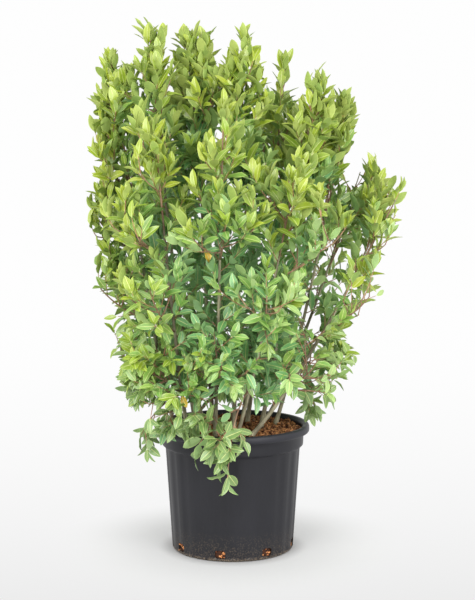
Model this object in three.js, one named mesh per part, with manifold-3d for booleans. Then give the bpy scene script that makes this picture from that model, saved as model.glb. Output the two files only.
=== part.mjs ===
// Potted bay laurel: a bushy plant of many stems in a black nursery pot.
// Millimetres, +Z up. The origin is the centre of the pot's flat underside, and -Y faces the viewer.
// Every stem rises from the growing medium and ends where its top mass of foliage begins.
// The other masses spring from the sides of the stems, tier by tier, and each keeps to its own space.

import * as THREE from 'three';
import { mergeVertices } from 'three/addons/utils/BufferGeometryUtils.js';
import Module from 'manifold-3d';

const wasm = await Module();
wasm.setup();

// Pot, a thin moulded shell with a rolled rim, a collar and a ledge under it
const POT_HEIGHT = 327;
const RIM_RADIUS = 200;
const RIM_DEPTH = 20;
const RIM_ROUNDING = 4;
const COLLAR_RADIUS = 184;
const LEDGE_HEIGHT = 271;
const LEDGE_DEPTH = 4;
const BODY_TOP_RADIUS = 175.5;
const FOOT_RADIUS = 158;
const FOOT_ROUNDING = 7;
const WALL = 3;
const POT_SEGMENTS = 32;

// Drain holes round the foot of the wall
const DRAIN_COUNT = 8;
const DRAIN_WIDTH = 27;
const DRAIN_HEIGHT = 21;
const DRAIN_CORNER = 5;
const DRAIN_BOTTOM = 8;
const DRAIN_TURN = -11.5;
const DRAIN_PLUG_DEPTH = 18;

// Growing medium
const MEDIUM_TOP = 316;

// Gap that two touching solids keep, and how close two corners are to count as one
const GAP = 0.3;
const WELD_TOLERANCE = 1e-4;

// Stems: where each leaves the medium, where the foliage on it ends, its radius at the foot, and
// the length of the top mass of foliage, which takes the place of the stem
const STEMS = {
  far_left: { foot: [-152, -8], top: [-316, 24, 1290], radius: 5, leafy: 285 },
  left: { foot: [-92, -62], top: [-218, -70, 1380], radius: 5.5, leafy: 330 },
  left_centre: { foot: [-52, 34], top: [-98, 30, 1356], radius: 5.8, leafy: 430 },
  centre: { foot: [2, -28], top: [30, -40, 1347], radius: 5.8, leafy: 440 },
  right_centre: { foot: [38, 46], top: [140, 95, 1289], radius: 5.5, leafy: 410 },
  right: { foot: [72, -30], top: [214, -45, 1256], radius: 5.5, leafy: 330 },
  far_right: { foot: [112, 30], top: [304, 50, 1172], radius: 5, leafy: 285 },
  lobe: { foot: [46, -134], top: [444, -60, 970], radius: 5.5, leafy: 285 },
  lobe_back: { foot: [88, 84], top: [362, 150, 1044], radius: 5, leafy: 285 },
  front_left: { foot: [-112, -116], top: [-190, -235, 1120], radius: 5, leafy: 285 },
  front: { foot: [-44, -132], top: [-20, -245, 1175], radius: 5, leafy: 330 },
  front_right: { foot: [10, -148], top: [165, -240, 1050], radius: 4.5, leafy: 285 },
  back_left: { foot: [-84, 104], top: [-190, 235, 1215], radius: 5, leafy: 285 },
  back_right: { foot: [28, 130], top: [95, 255, 1195], radius: 5, leafy: 330 },
};
const STEM_SIDES = 6;
const STEM_RINGS = 7;
const STEM_TIP_SHARE = 0.6;
const STEM_BENDS = [
  { lean: 0.36, climb: 0.25 },
  { lean: 0.72, climb: 0.68 },
];
const FLARE = 0.35;
const FLARE_HEIGHT = 0.05;

// Crown: how far it reaches to the right, back, left and front at each height
const CROWN_REACH = [
  { height: 190, reach: [262, 262, 262, 285] },
  { height: 300, reach: [270, 270, 270, 285] },
  { height: 364, reach: [284, 288, 296, 288] },
  { height: 424, reach: [316, 302, 308, 294] },
  { height: 485, reach: [368, 316, 312, 304] },
  { height: 577, reach: [292, 328, 328, 318] },
  { height: 655, reach: [410, 338, 358, 332] },
  { height: 757, reach: [402, 345, 374, 338] },
  { height: 860, reach: [442, 348, 386, 342] },
  { height: 970, reach: [450, 338, 376, 336] },
  { height: 1045, reach: [364, 322, 374, 322] },
  { height: 1145, reach: [320, 302, 352, 306] },
  { height: 1260, reach: [228, 266, 338, 262] },
  { height: 1382, reach: [180, 200, 262, 200] },
];
const CROWN_BLUNTNESS = 2.4;

// Tiers of side masses: height of the tips, how far they stand above their feet, and their
// bearings in degrees from the right
const TIERS = [
  { name: 'low', height: 400, rise: -25, bearings: [8, 60, 105, 150, 192, 236] },
  { name: 'skirt', height: 560, rise: 120, bearings: [0, 44, 88, 134, 180, 222, 266, 312] },
  { name: 'waist', height: 735, rise: 150, bearings: [4, 50, 98, 146, 190, 236, 284, 330] },
  { name: 'chest', height: 925, rise: 165, bearings: [40, 128, 180, 222, 268, 316] },
  { name: 'shoulder', height: 1115, rise: 150, bearings: [184] },
];
const SIDE_BEND = { out: 0.72, up: 0.3, arch: 50 };
const HIGHEST_FOOT = 0.88;
const FOOT_SLACK = 60;
const SIDE_NAMES = [
  'right', 'back_right', 'back', 'back_left', 'left', 'front_left', 'front', 'front_right',
];

// Spray that hangs over the front of the rim, smaller than the other masses
const HANGING = {
  stem: 'front_right',
  height: 440,
  over: [-6, -258, 410],
  end: [-14, -242, 196],
  scale: 0.55,
};

// Twigs: an axis through each mass, which ends short of the last leaf's tip, and shoots on it
const AXIS_RADIUS = 3.6;
const AXIS_TIP_RADIUS = 2.6;
const AXIS_RINGS = 3;
const AXIS_END = { leavesShort: 0.6, atLeast: 0.35 };
const TWIG_SIDES = 3;
const SHOOT_SHARES = [0.3, 0.47, 0.64, 0.8];
const SHOOT_LENGTH = 84;
const SHOOT_RADIUS = 4.2;
const SHOOT_SWELL = 0.22;
const SHOOT_ANGLE = 62;
const SHOOT_ANGLE_SPREAD = 14;
const SHOOT_REACH = { least: 0.85, most: 1.15 };
const SHOOT_CUTS = [1, 0.7, 0.45];
const SHOOT_LIFT = 0.2;

// Leaves; one of these stands for a small spray
const LEAF_LENGTH = 142;
const LEAF_WIDTH = 84;
const LEAF_THICKNESS = 5;
const LEAF_SIZES = [1, 0.85, 0.7, 0.6];
const LEAF_TRIES = 240;
const LEAVES_PER_MASS = 15;
const USUAL_MASS_LENGTH = 330;
const FACES_OF_ONE_ROOT = 24;
const LEAF_BELLY = 0.56;
const LEAF_ANGLES = [58, 40, 74];
const LEAF_SPAN = { from: 0.2, to: 0.8 };
const TIP_LEAF = { share: 0.8, angle: 8 };
const LEAF_ROOT = 1.5;
const LIGHT_RISE = 0.1;
const GOLDEN_ANGLE = Math.PI * (3 - Math.sqrt(5));
const GOLDEN_SHARE = (Math.sqrt(5) - 1) / 2;

// Points over a leaf at which its room is checked: share of its length, share of its half width
const LEAF_CHECKS = [
  [0.25, 0], [0.5, 0], [0.75, 0], [1, 0], [LEAF_BELLY, 1], [LEAF_BELLY, -1],
  [0.3, 0.5], [0.3, -0.5], [0.78, 0.5], [0.78, -0.5],
];
const SHOOT_CHECKS = [0.5, 1];

// Room between masses, round limbs and above a mass
const SPACE_MARGIN = 4;
const LIMB_MARGIN = 3;
const AXIS_CLEARANCE = 8;
const TIP_HEADROOM = 2;
const SIDE_HEADROOM = 40;

// Steps in which the lines are walked
const AXIS_STEPS = 6;
const STEM_STEPS = 14;
const HEIGHT_STEPS = 60;

const UP = new THREE.Vector3(0, 0, 1);

const MATERIALS = {
  pot: { color: 0x2e2e32, roughness: 0.5, metalness: 0 },
  medium: { color: 0x7a4a2a, roughness: 1, metalness: 0 },
  bark: { color: 0x7a6a58, roughness: 0.85, metalness: 0 },
  foliage: { color: 0x6f9a35, roughness: 0.5, metalness: 0 },
};

const model = new THREE.Group();

function addPart(name, geometry, finish) {
  const mesh = new THREE.Mesh(geometry, new THREE.MeshStandardMaterial(MATERIALS[finish]));
  mesh.name = name;
  model.add(mesh);
}

// A closed geometry with shared corners and nothing but positions
function weld(geometry) {
  const bare = geometry.clone();
  bare.deleteAttribute('normal');
  bare.deleteAttribute('uv');
  return mergeVertices(bare, WELD_TOLERANCE);
}

function toSolid(geometry) {
  const welded = weld(geometry);
  const vertProperties = new Float32Array(welded.attributes.position.array);
  const triVerts = new Uint32Array(welded.index.array);
  return new wasm.Manifold(new wasm.Mesh({ numProp: 3, vertProperties, triVerts }));
}

function toGeometry(solid) {
  const mesh = solid.getMesh();
  const geometry = new THREE.BufferGeometry();
  geometry.setAttribute('position', new THREE.BufferAttribute(new Float32Array(mesh.vertProperties), 3));
  geometry.setIndex(new THREE.BufferAttribute(new Uint32Array(mesh.triVerts), 1));
  return geometry;
}

// The largest body of a solid, without loose scraps
function mainBody(solid) {
  return solid.decompose().reduce((best, body) => (body.volume() > best.volume() ? body : best));
}

// A repeatable stream of numbers from 0 to 1
function seededNumbers(seed) {
  let state = seed >>> 0;
  return () => {
    state = (state + 0x6d2b79f5) >>> 0;
    let mixed = Math.imul(state ^ (state >>> 15), state | 1);
    mixed ^= mixed + Math.imul(mixed ^ (mixed >>> 7), mixed | 61);
    return ((mixed ^ (mixed >>> 14)) >>> 0) / 4294967296;
  };
}

// Pot and medium

function turned(profile) {
  const points = profile.map(([radius, height]) => new THREE.Vector2(radius, height));
  const geometry = new THREE.LatheGeometry(points, POT_SEGMENTS);
  geometry.rotateX(Math.PI / 2);
  return geometry;
}

// Radius of the outside of the body at a height under the ledge
function bodyRadius(height) {
  return THREE.MathUtils.lerp(FOOT_RADIUS, BODY_TOP_RADIUS, height / LEDGE_HEIGHT);
}

function potShell() {
  const rimBottom = POT_HEIGHT - RIM_DEPTH;
  const collarInside = COLLAR_RADIUS - WALL;
  return turned([
    [0, 0],
    [FOOT_RADIUS - FOOT_ROUNDING, 0],
    [bodyRadius(FOOT_ROUNDING), FOOT_ROUNDING],
    [BODY_TOP_RADIUS, LEDGE_HEIGHT],
    [COLLAR_RADIUS, LEDGE_HEIGHT + LEDGE_DEPTH / 2],
    [COLLAR_RADIUS, rimBottom],
    [RIM_RADIUS - RIM_ROUNDING / 2, rimBottom],
    [RIM_RADIUS, rimBottom + RIM_ROUNDING],
    [RIM_RADIUS, POT_HEIGHT - RIM_ROUNDING],
    [RIM_RADIUS - RIM_ROUNDING, POT_HEIGHT],
    [collarInside + RIM_ROUNDING, POT_HEIGHT],
    [collarInside, POT_HEIGHT - RIM_ROUNDING],
    [collarInside, LEDGE_HEIGHT + LEDGE_DEPTH],
    [BODY_TOP_RADIUS - WALL, LEDGE_HEIGHT + WALL],
    [bodyRadius(WALL) - WALL, WALL],
    [0, WALL],
  ]);
}

// One drain hole's plug, an outline with cut corners pushed out through the wall
function drainPlug(bearing) {
  const halfWidth = DRAIN_WIDTH / 2;
  const halfHeight = DRAIN_HEIGHT / 2;
  const outline = new THREE.Shape([
    new THREE.Vector2(-halfWidth, DRAIN_CORNER - halfHeight),
    new THREE.Vector2(DRAIN_CORNER - halfWidth, -halfHeight),
    new THREE.Vector2(halfWidth - DRAIN_CORNER, -halfHeight),
    new THREE.Vector2(halfWidth, DRAIN_CORNER - halfHeight),
    new THREE.Vector2(halfWidth, halfHeight - DRAIN_CORNER),
    new THREE.Vector2(halfWidth - DRAIN_CORNER, halfHeight),
    new THREE.Vector2(DRAIN_CORNER - halfWidth, halfHeight),
    new THREE.Vector2(-halfWidth, halfHeight - DRAIN_CORNER),
  ]);
  const plug = new THREE.ExtrudeGeometry(outline, { depth: DRAIN_PLUG_DEPTH, bevelEnabled: false });
  plug.rotateX(Math.PI / 2);
  plug.translate(0, DRAIN_PLUG_DEPTH / 2 - FOOT_RADIUS, DRAIN_BOTTOM + halfHeight);
  plug.rotateZ(bearing);
  return plug;
}

function pot() {
  let solid = toSolid(potShell());
  for (let i = 0; i < DRAIN_COUNT; i += 1) {
    const bearing = THREE.MathUtils.degToRad(DRAIN_TURN + (360 / DRAIN_COUNT) * i);
    solid = solid.subtract(toSolid(drainPlug(bearing)));
  }
  return toGeometry(solid);
}

function medium() {
  const clear = WALL + GAP;
  return turned([
    [0, clear],
    [bodyRadius(WALL) - clear, clear],
    [BODY_TOP_RADIUS - clear, LEDGE_HEIGHT + clear],
    [COLLAR_RADIUS - clear, LEDGE_HEIGHT + LEDGE_DEPTH + GAP],
    [COLLAR_RADIUS - clear, MEDIUM_TOP],
    [0, MEDIUM_TOP],
  ]);
}

// Limbs and twigs

// A round bar bent along a curve, with its radius given at each share of the length
function limb(curve, radiusAt, sides, rings) {
  const geometry = weld(new THREE.CylinderGeometry(1, 1, 1, sides, rings));
  const frames = curve.computeFrenetFrames(rings);
  const position = geometry.attributes.position;
  const place = new THREE.Vector3();
  for (let i = 0; i < position.count; i += 1) {
    const share = position.getY(i) + 0.5;
    const ring = Math.round(share * rings);
    const radius = radiusAt(share);
    curve.getPointAt(share, place);
    place.addScaledVector(frames.normals[ring], position.getX(i) * radius);
    place.addScaledVector(frames.binormals[ring], -position.getZ(i) * radius);
    position.setXYZ(i, place.x, place.y, place.z);
  }
  return geometry;
}

// The line of a stem: it leans out from the medium, then climbs more steeply to its end
function stemLine({ foot, top }) {
  const start = new THREE.Vector3(foot[0], foot[1], MEDIUM_TOP + GAP);
  const end = new THREE.Vector3(...top);
  const [lower, upper] = STEM_BENDS.map(
    ({ lean, climb }) =>
      new THREE.Vector3(
        THREE.MathUtils.lerp(start.x, end.x, lean),
        THREE.MathUtils.lerp(start.y, end.y, lean),
        THREE.MathUtils.lerp(start.z, end.z, climb),
      ),
  );
  return new THREE.CubicBezierCurve3(start, lower, upper, end);
}

// The stretch of a curve between two shares of its length
class Stretch extends THREE.Curve {
  constructor(whole, from, to) {
    super();
    Object.assign(this, { whole, from, to });
  }

  getPoint(share, target = new THREE.Vector3()) {
    return this.whole.getPointAt(THREE.MathUtils.lerp(this.from, this.to, share), target);
  }
}

function stemRadius(stem, share) {
  const taper = 1 - (1 - STEM_TIP_SHARE) * share;
  return stem.radius * (taper + FLARE * Math.exp(-share / FLARE_HEIGHT));
}

// A stem's foot is cut level: its lowest ring of corners and their centre come to one height
function levelFoot(geometry, height) {
  const position = geometry.attributes.position;
  const lowest = [...Array(position.count).keys()].sort((a, b) => position.getZ(a) - position.getZ(b));
  lowest.slice(0, STEM_SIDES + 1).forEach((i) => position.setZ(i, height));
  return geometry;
}

const stems = Object.entries(STEMS).map(([name, size]) => {
  const whole = stemLine(size);
  const tipShare = 1 - size.leafy / whole.getLength();
  const line = new Stretch(whole, 0, tipShare);
  return { name, size, whole, tipShare, line, points: line.getSpacedPoints(STEM_STEPS) };
});

// A stem's solid, with room added all round it
function stemLimb(stem, room) {
  const radiusAt = (share) => stemRadius(stem.size, share) + room;
  return limb(stem.line, radiusAt, STEM_SIDES, STEM_RINGS);
}

// Masses of foliage

function distanceToPath(point, path) {
  const segment = new THREE.Line3();
  const nearest = new THREE.Vector3();
  let least = Infinity;
  for (let i = 0; i + 1 < path.length; i += 1) {
    segment.set(path[i], path[i + 1]);
    segment.closestPointToPoint(point, true, nearest);
    least = Math.min(least, nearest.distanceTo(point));
  }
  return least;
}

// How far the crown reaches to each side at a height
function reachAt(height) {
  const above = Math.max(1, CROWN_REACH.findIndex((row) => row.height >= height));
  const [lower, upper] = CROWN_REACH.slice(above - 1, above + 1);
  const share = THREE.MathUtils.clamp((height - lower.height) / (upper.height - lower.height), 0, 1);
  return lower.reach.map((size, side) => THREE.MathUtils.lerp(size, upper.reach[side], share));
}

// How far out a point lies, as a share of the way to the crown's outline at its height
function shareOfReach({ x, y, z }) {
  const [right, back, left, front] = reachAt(z);
  const across = Math.abs(x) / (x > 0 ? right : left);
  const along = Math.abs(y) / (y > 0 ? back : front);
  return (across ** CROWN_BLUNTNESS + along ** CROWN_BLUNTNESS) ** (1 / CROWN_BLUNTNESS);
}

// The point of the crown's outline at a bearing and a height
function outlineTip(bearing, height) {
  const tip = new THREE.Vector3(Math.cos(bearing), Math.sin(bearing), height);
  const share = shareOfReach(tip);
  return new THREE.Vector3(tip.x / share, tip.y / share, height);
}

// The share of a stem's length at which it reaches a height, short of its end
function shareAtHeight(stem, height) {
  let share = 0;
  while (share < HIGHEST_FOOT && stem.line.getPointAt(share).z < height) {
    share += 1 / HEIGHT_STEPS;
  }
  return share;
}

// The line of a side mass: out from its stem's axis, then up or down to its tip
function sideLine(foot, tip) {
  const bend = foot.clone().lerp(tip, SIDE_BEND.out);
  bend.z = THREE.MathUtils.lerp(foot.z, tip.z, SIDE_BEND.up) + (tip.z < foot.z ? SIDE_BEND.arch : 0);
  return new THREE.QuadraticBezierCurve3(foot, bend, tip);
}

function passesClear(line, ownStem) {
  return line.getSpacedPoints(AXIS_STEPS * 2).every((point) =>
    stems.every(
      (stem) => stem === ownStem || distanceToPath(point, stem.points) > stem.size.radius + AXIS_CLEARANCE,
    ),
  );
}

// A side mass springs from the nearest stem, at the height of its foot, that has a clear way to its tip
function nearestStem(tip, height) {
  let best = null;
  for (const stem of stems) {
    const foot = stem.line.getPointAt(shareAtHeight(stem, height));
    const line = sideLine(foot, tip);
    const distance = foot.distanceTo(tip);
    const suits = Math.abs(foot.z - height) < FOOT_SLACK && passesClear(line, stem);
    if (suits && (!best || distance < best.distance)) {
      best = { stem, line, distance };
    }
  }
  return best;
}

function topMasses() {
  return stems.map((stem) => {
    const start = stem.tipShare + GAP / stem.whole.getLength();
    return { name: `foliage_top_${stem.name}`, line: new Stretch(stem.whole, start, 1), onTip: stem };
  });
}

function sideMasses() {
  return TIERS.flatMap((tier) =>
    tier.bearings.map((degrees) => {
      const tip = outlineTip(THREE.MathUtils.degToRad(degrees), tier.height);
      const { stem, line } = nearestStem(tip, tier.height - tier.rise);
      const side = SIDE_NAMES[Math.round(degrees / 45) % SIDE_NAMES.length];
      return { name: `foliage_${tier.name}_${side}`, line, onSide: stem };
    }),
  );
}

function hangingMass() {
  const stem = stems.find(({ name }) => name === HANGING.stem);
  const line = new THREE.QuadraticBezierCurve3(
    stem.line.getPointAt(shareAtHeight(stem, HANGING.height)),
    new THREE.Vector3(...HANGING.over),
    new THREE.Vector3(...HANGING.end),
  );
  return { name: 'foliage_hanging', line, onSide: stem, scale: HANGING.scale };
}

const masses = [...topMasses(), ...sideMasses(), hangingMass()];
masses.forEach((mass) => {
  mass.points = mass.line.getSpacedPoints(AXIS_STEPS);
  const highest = Math.max(...mass.points.map(({ z }) => z));
  mass.top = highest + (mass.onTip ? TIP_HEADROOM : SIDE_HEADROOM);
});

// Whether points lie nearer to their own mass's axis than to any other's, clear of stems and pot
function keepsToSpace(points, mass) {
  return points.every((point) => {
    const own = distanceToPath(point, mass.points);
    const clearOfMasses = masses.every(
      (other) => other === mass || distanceToPath(point, other.points) > own + SPACE_MARGIN,
    );
    const clearOfStems = stems.every(
      (stem) => distanceToPath(point, stem.points) > stem.size.radius + LIMB_MARGIN,
    );
    const outwards = Math.hypot(point.x, point.y);
    const clearOfPot = point.z > POT_HEIGHT + LIMB_MARGIN || outwards > RIM_RADIUS + LIMB_MARGIN;
    const inCrown = shareOfReach(point) < 1 && point.z < mass.top;
    return clearOfMasses && clearOfStems && clearOfPot && inCrown;
  });
}

function pointAlong(root, direction, distance) {
  return root.clone().addScaledVector(direction, distance);
}

// A direction turned away from an axis by an angle, at a turn round it
function branchDirection(axis, turn, angle) {
  const side = new THREE.Vector3(1, 0, 0).cross(axis).normalize();
  side.applyAxisAngle(axis, turn);
  return axis.clone().multiplyScalar(Math.cos(angle)).addScaledVector(side, Math.sin(angle));
}

// A leaf lies along a direction with its face turned outwards and up, to the light
function leafFrame(root, direction) {
  const light = new THREE.Vector3(root.x, root.y, 0).normalize().addScaledVector(UP, LIGHT_RISE);
  const across = light.cross(direction).normalize();
  const face = direction.clone().cross(across);
  return new THREE.Matrix4().makeBasis(direction, across, face).setPosition(root);
}

function leaf(root, direction, size) {
  const blade = new THREE.OctahedronGeometry(0.5, 0);
  blade.translate(0.5, 0, 0);
  const position = blade.attributes.position;
  for (let i = 0; i < position.count; i += 1) {
    position.setX(i, position.getX(i) === 0.5 ? LEAF_BELLY : position.getX(i));
  }
  blade.scale(LEAF_LENGTH * size, LEAF_WIDTH * size, LEAF_THICKNESS * size);
  blade.applyMatrix4(leafFrame(root, direction));
  return blade;
}

function leafChecks(root, direction, size) {
  const frame = leafFrame(root, direction);
  const length = LEAF_LENGTH * size;
  const half = (LEAF_WIDTH * size) / 2;
  return LEAF_CHECKS.map(([along, aside]) =>
    new THREE.Vector3(along * length, aside * half, 0).applyMatrix4(frame),
  );
}

// A thin three-sided shoot, pointed at both ends and widest near its root
function spindle(root, end, radius) {
  const corners = [-1, 0, 0, 1, 0, 0];
  for (let i = 0; i < TWIG_SIDES; i += 1) {
    const turn = (i * Math.PI * 2) / TWIG_SIDES;
    corners.push(0, Math.cos(turn), Math.sin(turn));
  }
  const faces = [0, 3, 2, 0, 4, 3, 0, 2, 4, 1, 2, 3, 1, 3, 4, 1, 4, 2];
  const geometry = weld(new THREE.PolyhedronGeometry(corners, faces, 1, 0));
  const position = geometry.attributes.position;
  for (let i = 0; i < position.count; i += 1) {
    const along = position.getX(i);
    position.setX(i, along < 0 ? SHOOT_SWELL * (1 + along) : SHOOT_SWELL + (1 - SHOOT_SWELL) * along);
  }
  const span = end.clone().sub(root);
  const length = span.length();
  geometry.scale(length, radius, radius);
  geometry.applyMatrix4(leafFrame(root, span.divideScalar(length)));
  return geometry;
}

// A mass of foliage, grown from its axis
function growMass(mass, index) {
  const random = seededNumbers(index + 1);
  const scale = mass.scale ?? 1;
  const shortBy = (AXIS_END.leavesShort * LEAF_LENGTH * scale) / mass.line.getLength();
  const axis = new Stretch(mass.line, 0, Math.max(1 - shortBy, AXIS_END.atLeast));
  const axisRadius = (share) => THREE.MathUtils.lerp(AXIS_RADIUS, AXIS_TIP_RADIUS, share);
  const twigs = [axis];
  let solid = toSolid(limb(axis, axisRadius, TWIG_SIDES, AXIS_RINGS));
  const wanted = LEAVES_PER_MASS * Math.max(1, mass.line.getLength() / USUAL_MASS_LENGTH);
  let leaves = 0;

  // A leaf is left out where it has no room, or would cut through another
  function tryLeaf(twig, share, turn, degrees, size) {
    const heading = twig.getTangentAt(share);
    const direction = branchDirection(heading, turn, THREE.MathUtils.degToRad(degrees));
    const root = pointAlong(twig.getPointAt(share), direction, -LEAF_ROOT);
    if (!keepsToSpace(leafChecks(root, direction, size), mass)) {
      return false;
    }
    const joined = solid.add(toSolid(leaf(root, direction, size)));
    if (joined.numTri() - solid.numTri() > FACES_OF_ONE_ROOT) {
      return false;
    }
    solid = joined;
    leaves += 1;
    return true;
  }

  const phase = random() * Math.PI * 2;
  SHOOT_SHARES.forEach((share, k) => {
    const root = axis.getPointAt(share);
    const angle = THREE.MathUtils.degToRad(SHOOT_ANGLE + SHOOT_ANGLE_SPREAD * (random() - 0.5));
    const direction = branchDirection(axis.getTangentAt(share), phase + k * GOLDEN_ANGLE, angle);
    direction.z += SHOOT_LIFT;
    direction.normalize();
    const stretch = THREE.MathUtils.lerp(SHOOT_REACH.least, SHOOT_REACH.most, random());
    const reach = SHOOT_LENGTH * scale * stretch;
    const cut = SHOOT_CUTS.find((size) => {
      const points = SHOOT_CHECKS.map((step) => pointAlong(root, direction, reach * size * step));
      return keepsToSpace(points, mass);
    });
    if (cut) {
      const shoot = new THREE.LineCurve3(root, pointAlong(root, direction, reach * cut));
      solid = solid.add(toSolid(spindle(shoot.v1, shoot.v2, SHOOT_RADIUS)));
      twigs.push(shoot);
    }
  });

  // A leaf at each tip, then more wherever one finds room, the larger ones first
  twigs.forEach((twig) => {
    LEAF_SIZES.some((size) => tryLeaf(twig, TIP_LEAF.share, phase, TIP_LEAF.angle, size * scale));
  });
  for (let i = 0; i < LEAF_TRIES && leaves < wanted; i += 1) {
    const size = LEAF_SIZES[Math.floor((i * LEAF_SIZES.length) / LEAF_TRIES)];
    const share = THREE.MathUtils.lerp(LEAF_SPAN.from, LEAF_SPAN.to, (i * GOLDEN_SHARE) % 1);
    const degrees = LEAF_ANGLES[Math.floor(i / twigs.length) % LEAF_ANGLES.length];
    tryLeaf(twigs[i % twigs.length], share, phase + i * GOLDEN_ANGLE, degrees, size * scale);
  }

  // The axis ends clear of the stem that it springs from
  if (mass.onSide) {
    solid = solid.subtract(toSolid(stemLimb(mass.onSide, GAP / Math.cos(Math.PI / STEM_SIDES))));
  }
  return toGeometry(mainBody(solid));
}

addPart('pot', pot(), 'pot');
addPart('growing_medium', medium(), 'medium');
for (const stem of stems) {
  addPart(`stem_${stem.name}`, levelFoot(stemLimb(stem, 0), MEDIUM_TOP + GAP), 'bark');
}
masses.forEach((mass, index) => {
  addPart(mass.name, growMass(mass, index), 'foliage');
});

export default model;
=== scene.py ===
"""Looks of the potted laurel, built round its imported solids: pot, medium, stems, twigs and leaves.

Sizes of the plant are in millimetres, as in the part's source, and MM turns them into metres.
"""
import math

import bmesh
import bpy
import numpy as np
from bpy.props import FloatProperty, FloatVectorProperty, IntProperty, PointerProperty
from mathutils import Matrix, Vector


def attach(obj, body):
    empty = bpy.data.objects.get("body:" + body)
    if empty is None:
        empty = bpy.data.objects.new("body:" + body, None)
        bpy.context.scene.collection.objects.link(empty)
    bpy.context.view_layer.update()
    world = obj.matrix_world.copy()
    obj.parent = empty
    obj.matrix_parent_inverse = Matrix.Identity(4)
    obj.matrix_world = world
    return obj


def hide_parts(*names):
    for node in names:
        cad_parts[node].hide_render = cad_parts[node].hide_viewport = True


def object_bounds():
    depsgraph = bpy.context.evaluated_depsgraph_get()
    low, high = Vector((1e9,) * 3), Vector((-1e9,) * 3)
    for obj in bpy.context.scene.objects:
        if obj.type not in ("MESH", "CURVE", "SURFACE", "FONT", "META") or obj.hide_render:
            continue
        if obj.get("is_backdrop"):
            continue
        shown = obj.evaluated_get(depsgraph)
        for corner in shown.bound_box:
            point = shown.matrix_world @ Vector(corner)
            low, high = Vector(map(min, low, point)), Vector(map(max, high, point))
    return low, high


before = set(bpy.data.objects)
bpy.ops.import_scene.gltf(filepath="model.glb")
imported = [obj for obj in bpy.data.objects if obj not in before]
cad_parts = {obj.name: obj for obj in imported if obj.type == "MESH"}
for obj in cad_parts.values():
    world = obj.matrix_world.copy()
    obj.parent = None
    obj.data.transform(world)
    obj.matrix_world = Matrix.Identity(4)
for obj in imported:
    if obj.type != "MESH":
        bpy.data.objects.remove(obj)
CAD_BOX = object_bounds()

bl_info = {
    "name": "Potted laurel",
    "version": (1, 0, 0),
    "blender": (4, 5, 0),
    "location": "3D Viewport > Sidebar > Laurel",
    "description": "Leaves, twigs, bark, pot and growing medium of a potted laurel shrub",
    "category": "Object",
}

MM = 0.001
UP = np.array([0.0, 0.0, 1.0])
GOLDEN_ANGLE = math.pi * (3 - math.sqrt(5))

# A direction that no line of the plant takes, from which the sides of tubes start, and the share of a
# line to both sides of a place over which its heading there is taken
ANY_DIRECTION = np.array([0.31, 0.87, 0.38])
HEADING_STEP = 0.004

# Pot
POT_HEIGHT = 327
RIM_RADIUS = 200
RIM_DEPTH = 20
COLLAR_RADIUS = 184
LEDGE_HEIGHT = 271
BODY_TOP_RADIUS = 175.5
FOOT_RADIUS = 158
FOOT_ROUNDING = 7
WALL = 3
DRAIN_COUNT = 8
DRAIN_WIDTH = 27
DRAIN_HEIGHT = 21
DRAIN_BOTTOM = 8
DRAIN_TURN = -11.5

# Growing medium and the gap that two touching solids keep
MEDIUM_TOP = 316
GAP = 0.3

# Stems: foot, top, radius at the foot, and the length of the leafy top
STEMS = {
    "far_left": ((-152, -8), (-316, 24, 1290), 5, 285),
    "left": ((-92, -62), (-218, -70, 1380), 5.5, 330),
    "left_centre": ((-52, 34), (-98, 30, 1356), 5.8, 430),
    "centre": ((2, -28), (30, -40, 1347), 5.8, 440),
    "right_centre": ((38, 46), (140, 95, 1289), 5.5, 410),
    "right": ((72, -30), (214, -45, 1256), 5.5, 330),
    "far_right": ((112, 30), (304, 50, 1172), 5, 285),
    "lobe": ((46, -134), (444, -60, 970), 5.5, 285),
    "lobe_back": ((88, 84), (362, 150, 1044), 5, 285),
    "front_left": ((-112, -116), (-190, -235, 1120), 5, 285),
    "front": ((-44, -132), (-20, -245, 1175), 5, 330),
    "front_right": ((10, -148), (165, -240, 1050), 4.5, 285),
    "back_left": ((-84, 104), (-190, 235, 1215), 5, 285),
    "back_right": ((28, 130), (95, 255, 1195), 5, 330),
}

# Their radius below the leafy top as a share of that at the foot, the shares of the way across and up
# at their two bends, and the flare: how much wider the foot is, and over which share of the length
STEM_TIP_SHARE = 0.6
STEM_BENDS = ((0.36, 0.25), (0.72, 0.68))
FLARE = 0.35
FLARE_HEIGHT = 0.05

# Crown: its reach to the right, back, left and front at each height, how blunt its plan is, the slope
# and the width of its tops, and the room beside a top and above it
CROWN_HEIGHTS = np.array([190, 300, 364, 424, 485, 577, 655, 757, 860, 970, 1045, 1145, 1260, 1382])
CROWN_REACHES = np.array([
    [262, 262, 262, 285], [270, 270, 270, 285], [284, 288, 296, 288], [316, 302, 308, 294],
    [368, 316, 312, 304], [292, 328, 328, 318], [410, 338, 358, 332], [402, 345, 374, 338],
    [442, 348, 386, 342], [450, 338, 376, 336], [364, 322, 374, 322], [320, 302, 352, 306],
    [228, 266, 338, 262], [180, 200, 262, 200],
])
CROWN_BLUNTNESS = 2.4
TOP_SLOPE, TOP_WIDTH = 2.4, 18
TOP_ROOM, TOP_SLACK, SLACK_HEIGHTS = 95, 24, (1040, 1200)
TWIG_HEADROOM, HIGHEST_LEAF = 4, 1370

# Tiers of side masses: name, height of the tips, rise from their feet, and bearings of the tips
TIERS = (
    ("low", 400, -25, (8, 60, 105, 150, 192, 236)),
    ("skirt", 560, 120, (0, 44, 88, 134, 180, 222, 266, 312)),
    ("waist", 735, 150, (4, 50, 98, 146, 190, 236, 284, 330)),
    ("chest", 925, 165, (40, 128, 180, 222, 268, 316)),
    ("shoulder", 1115, 150, (184,)),
)

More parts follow.
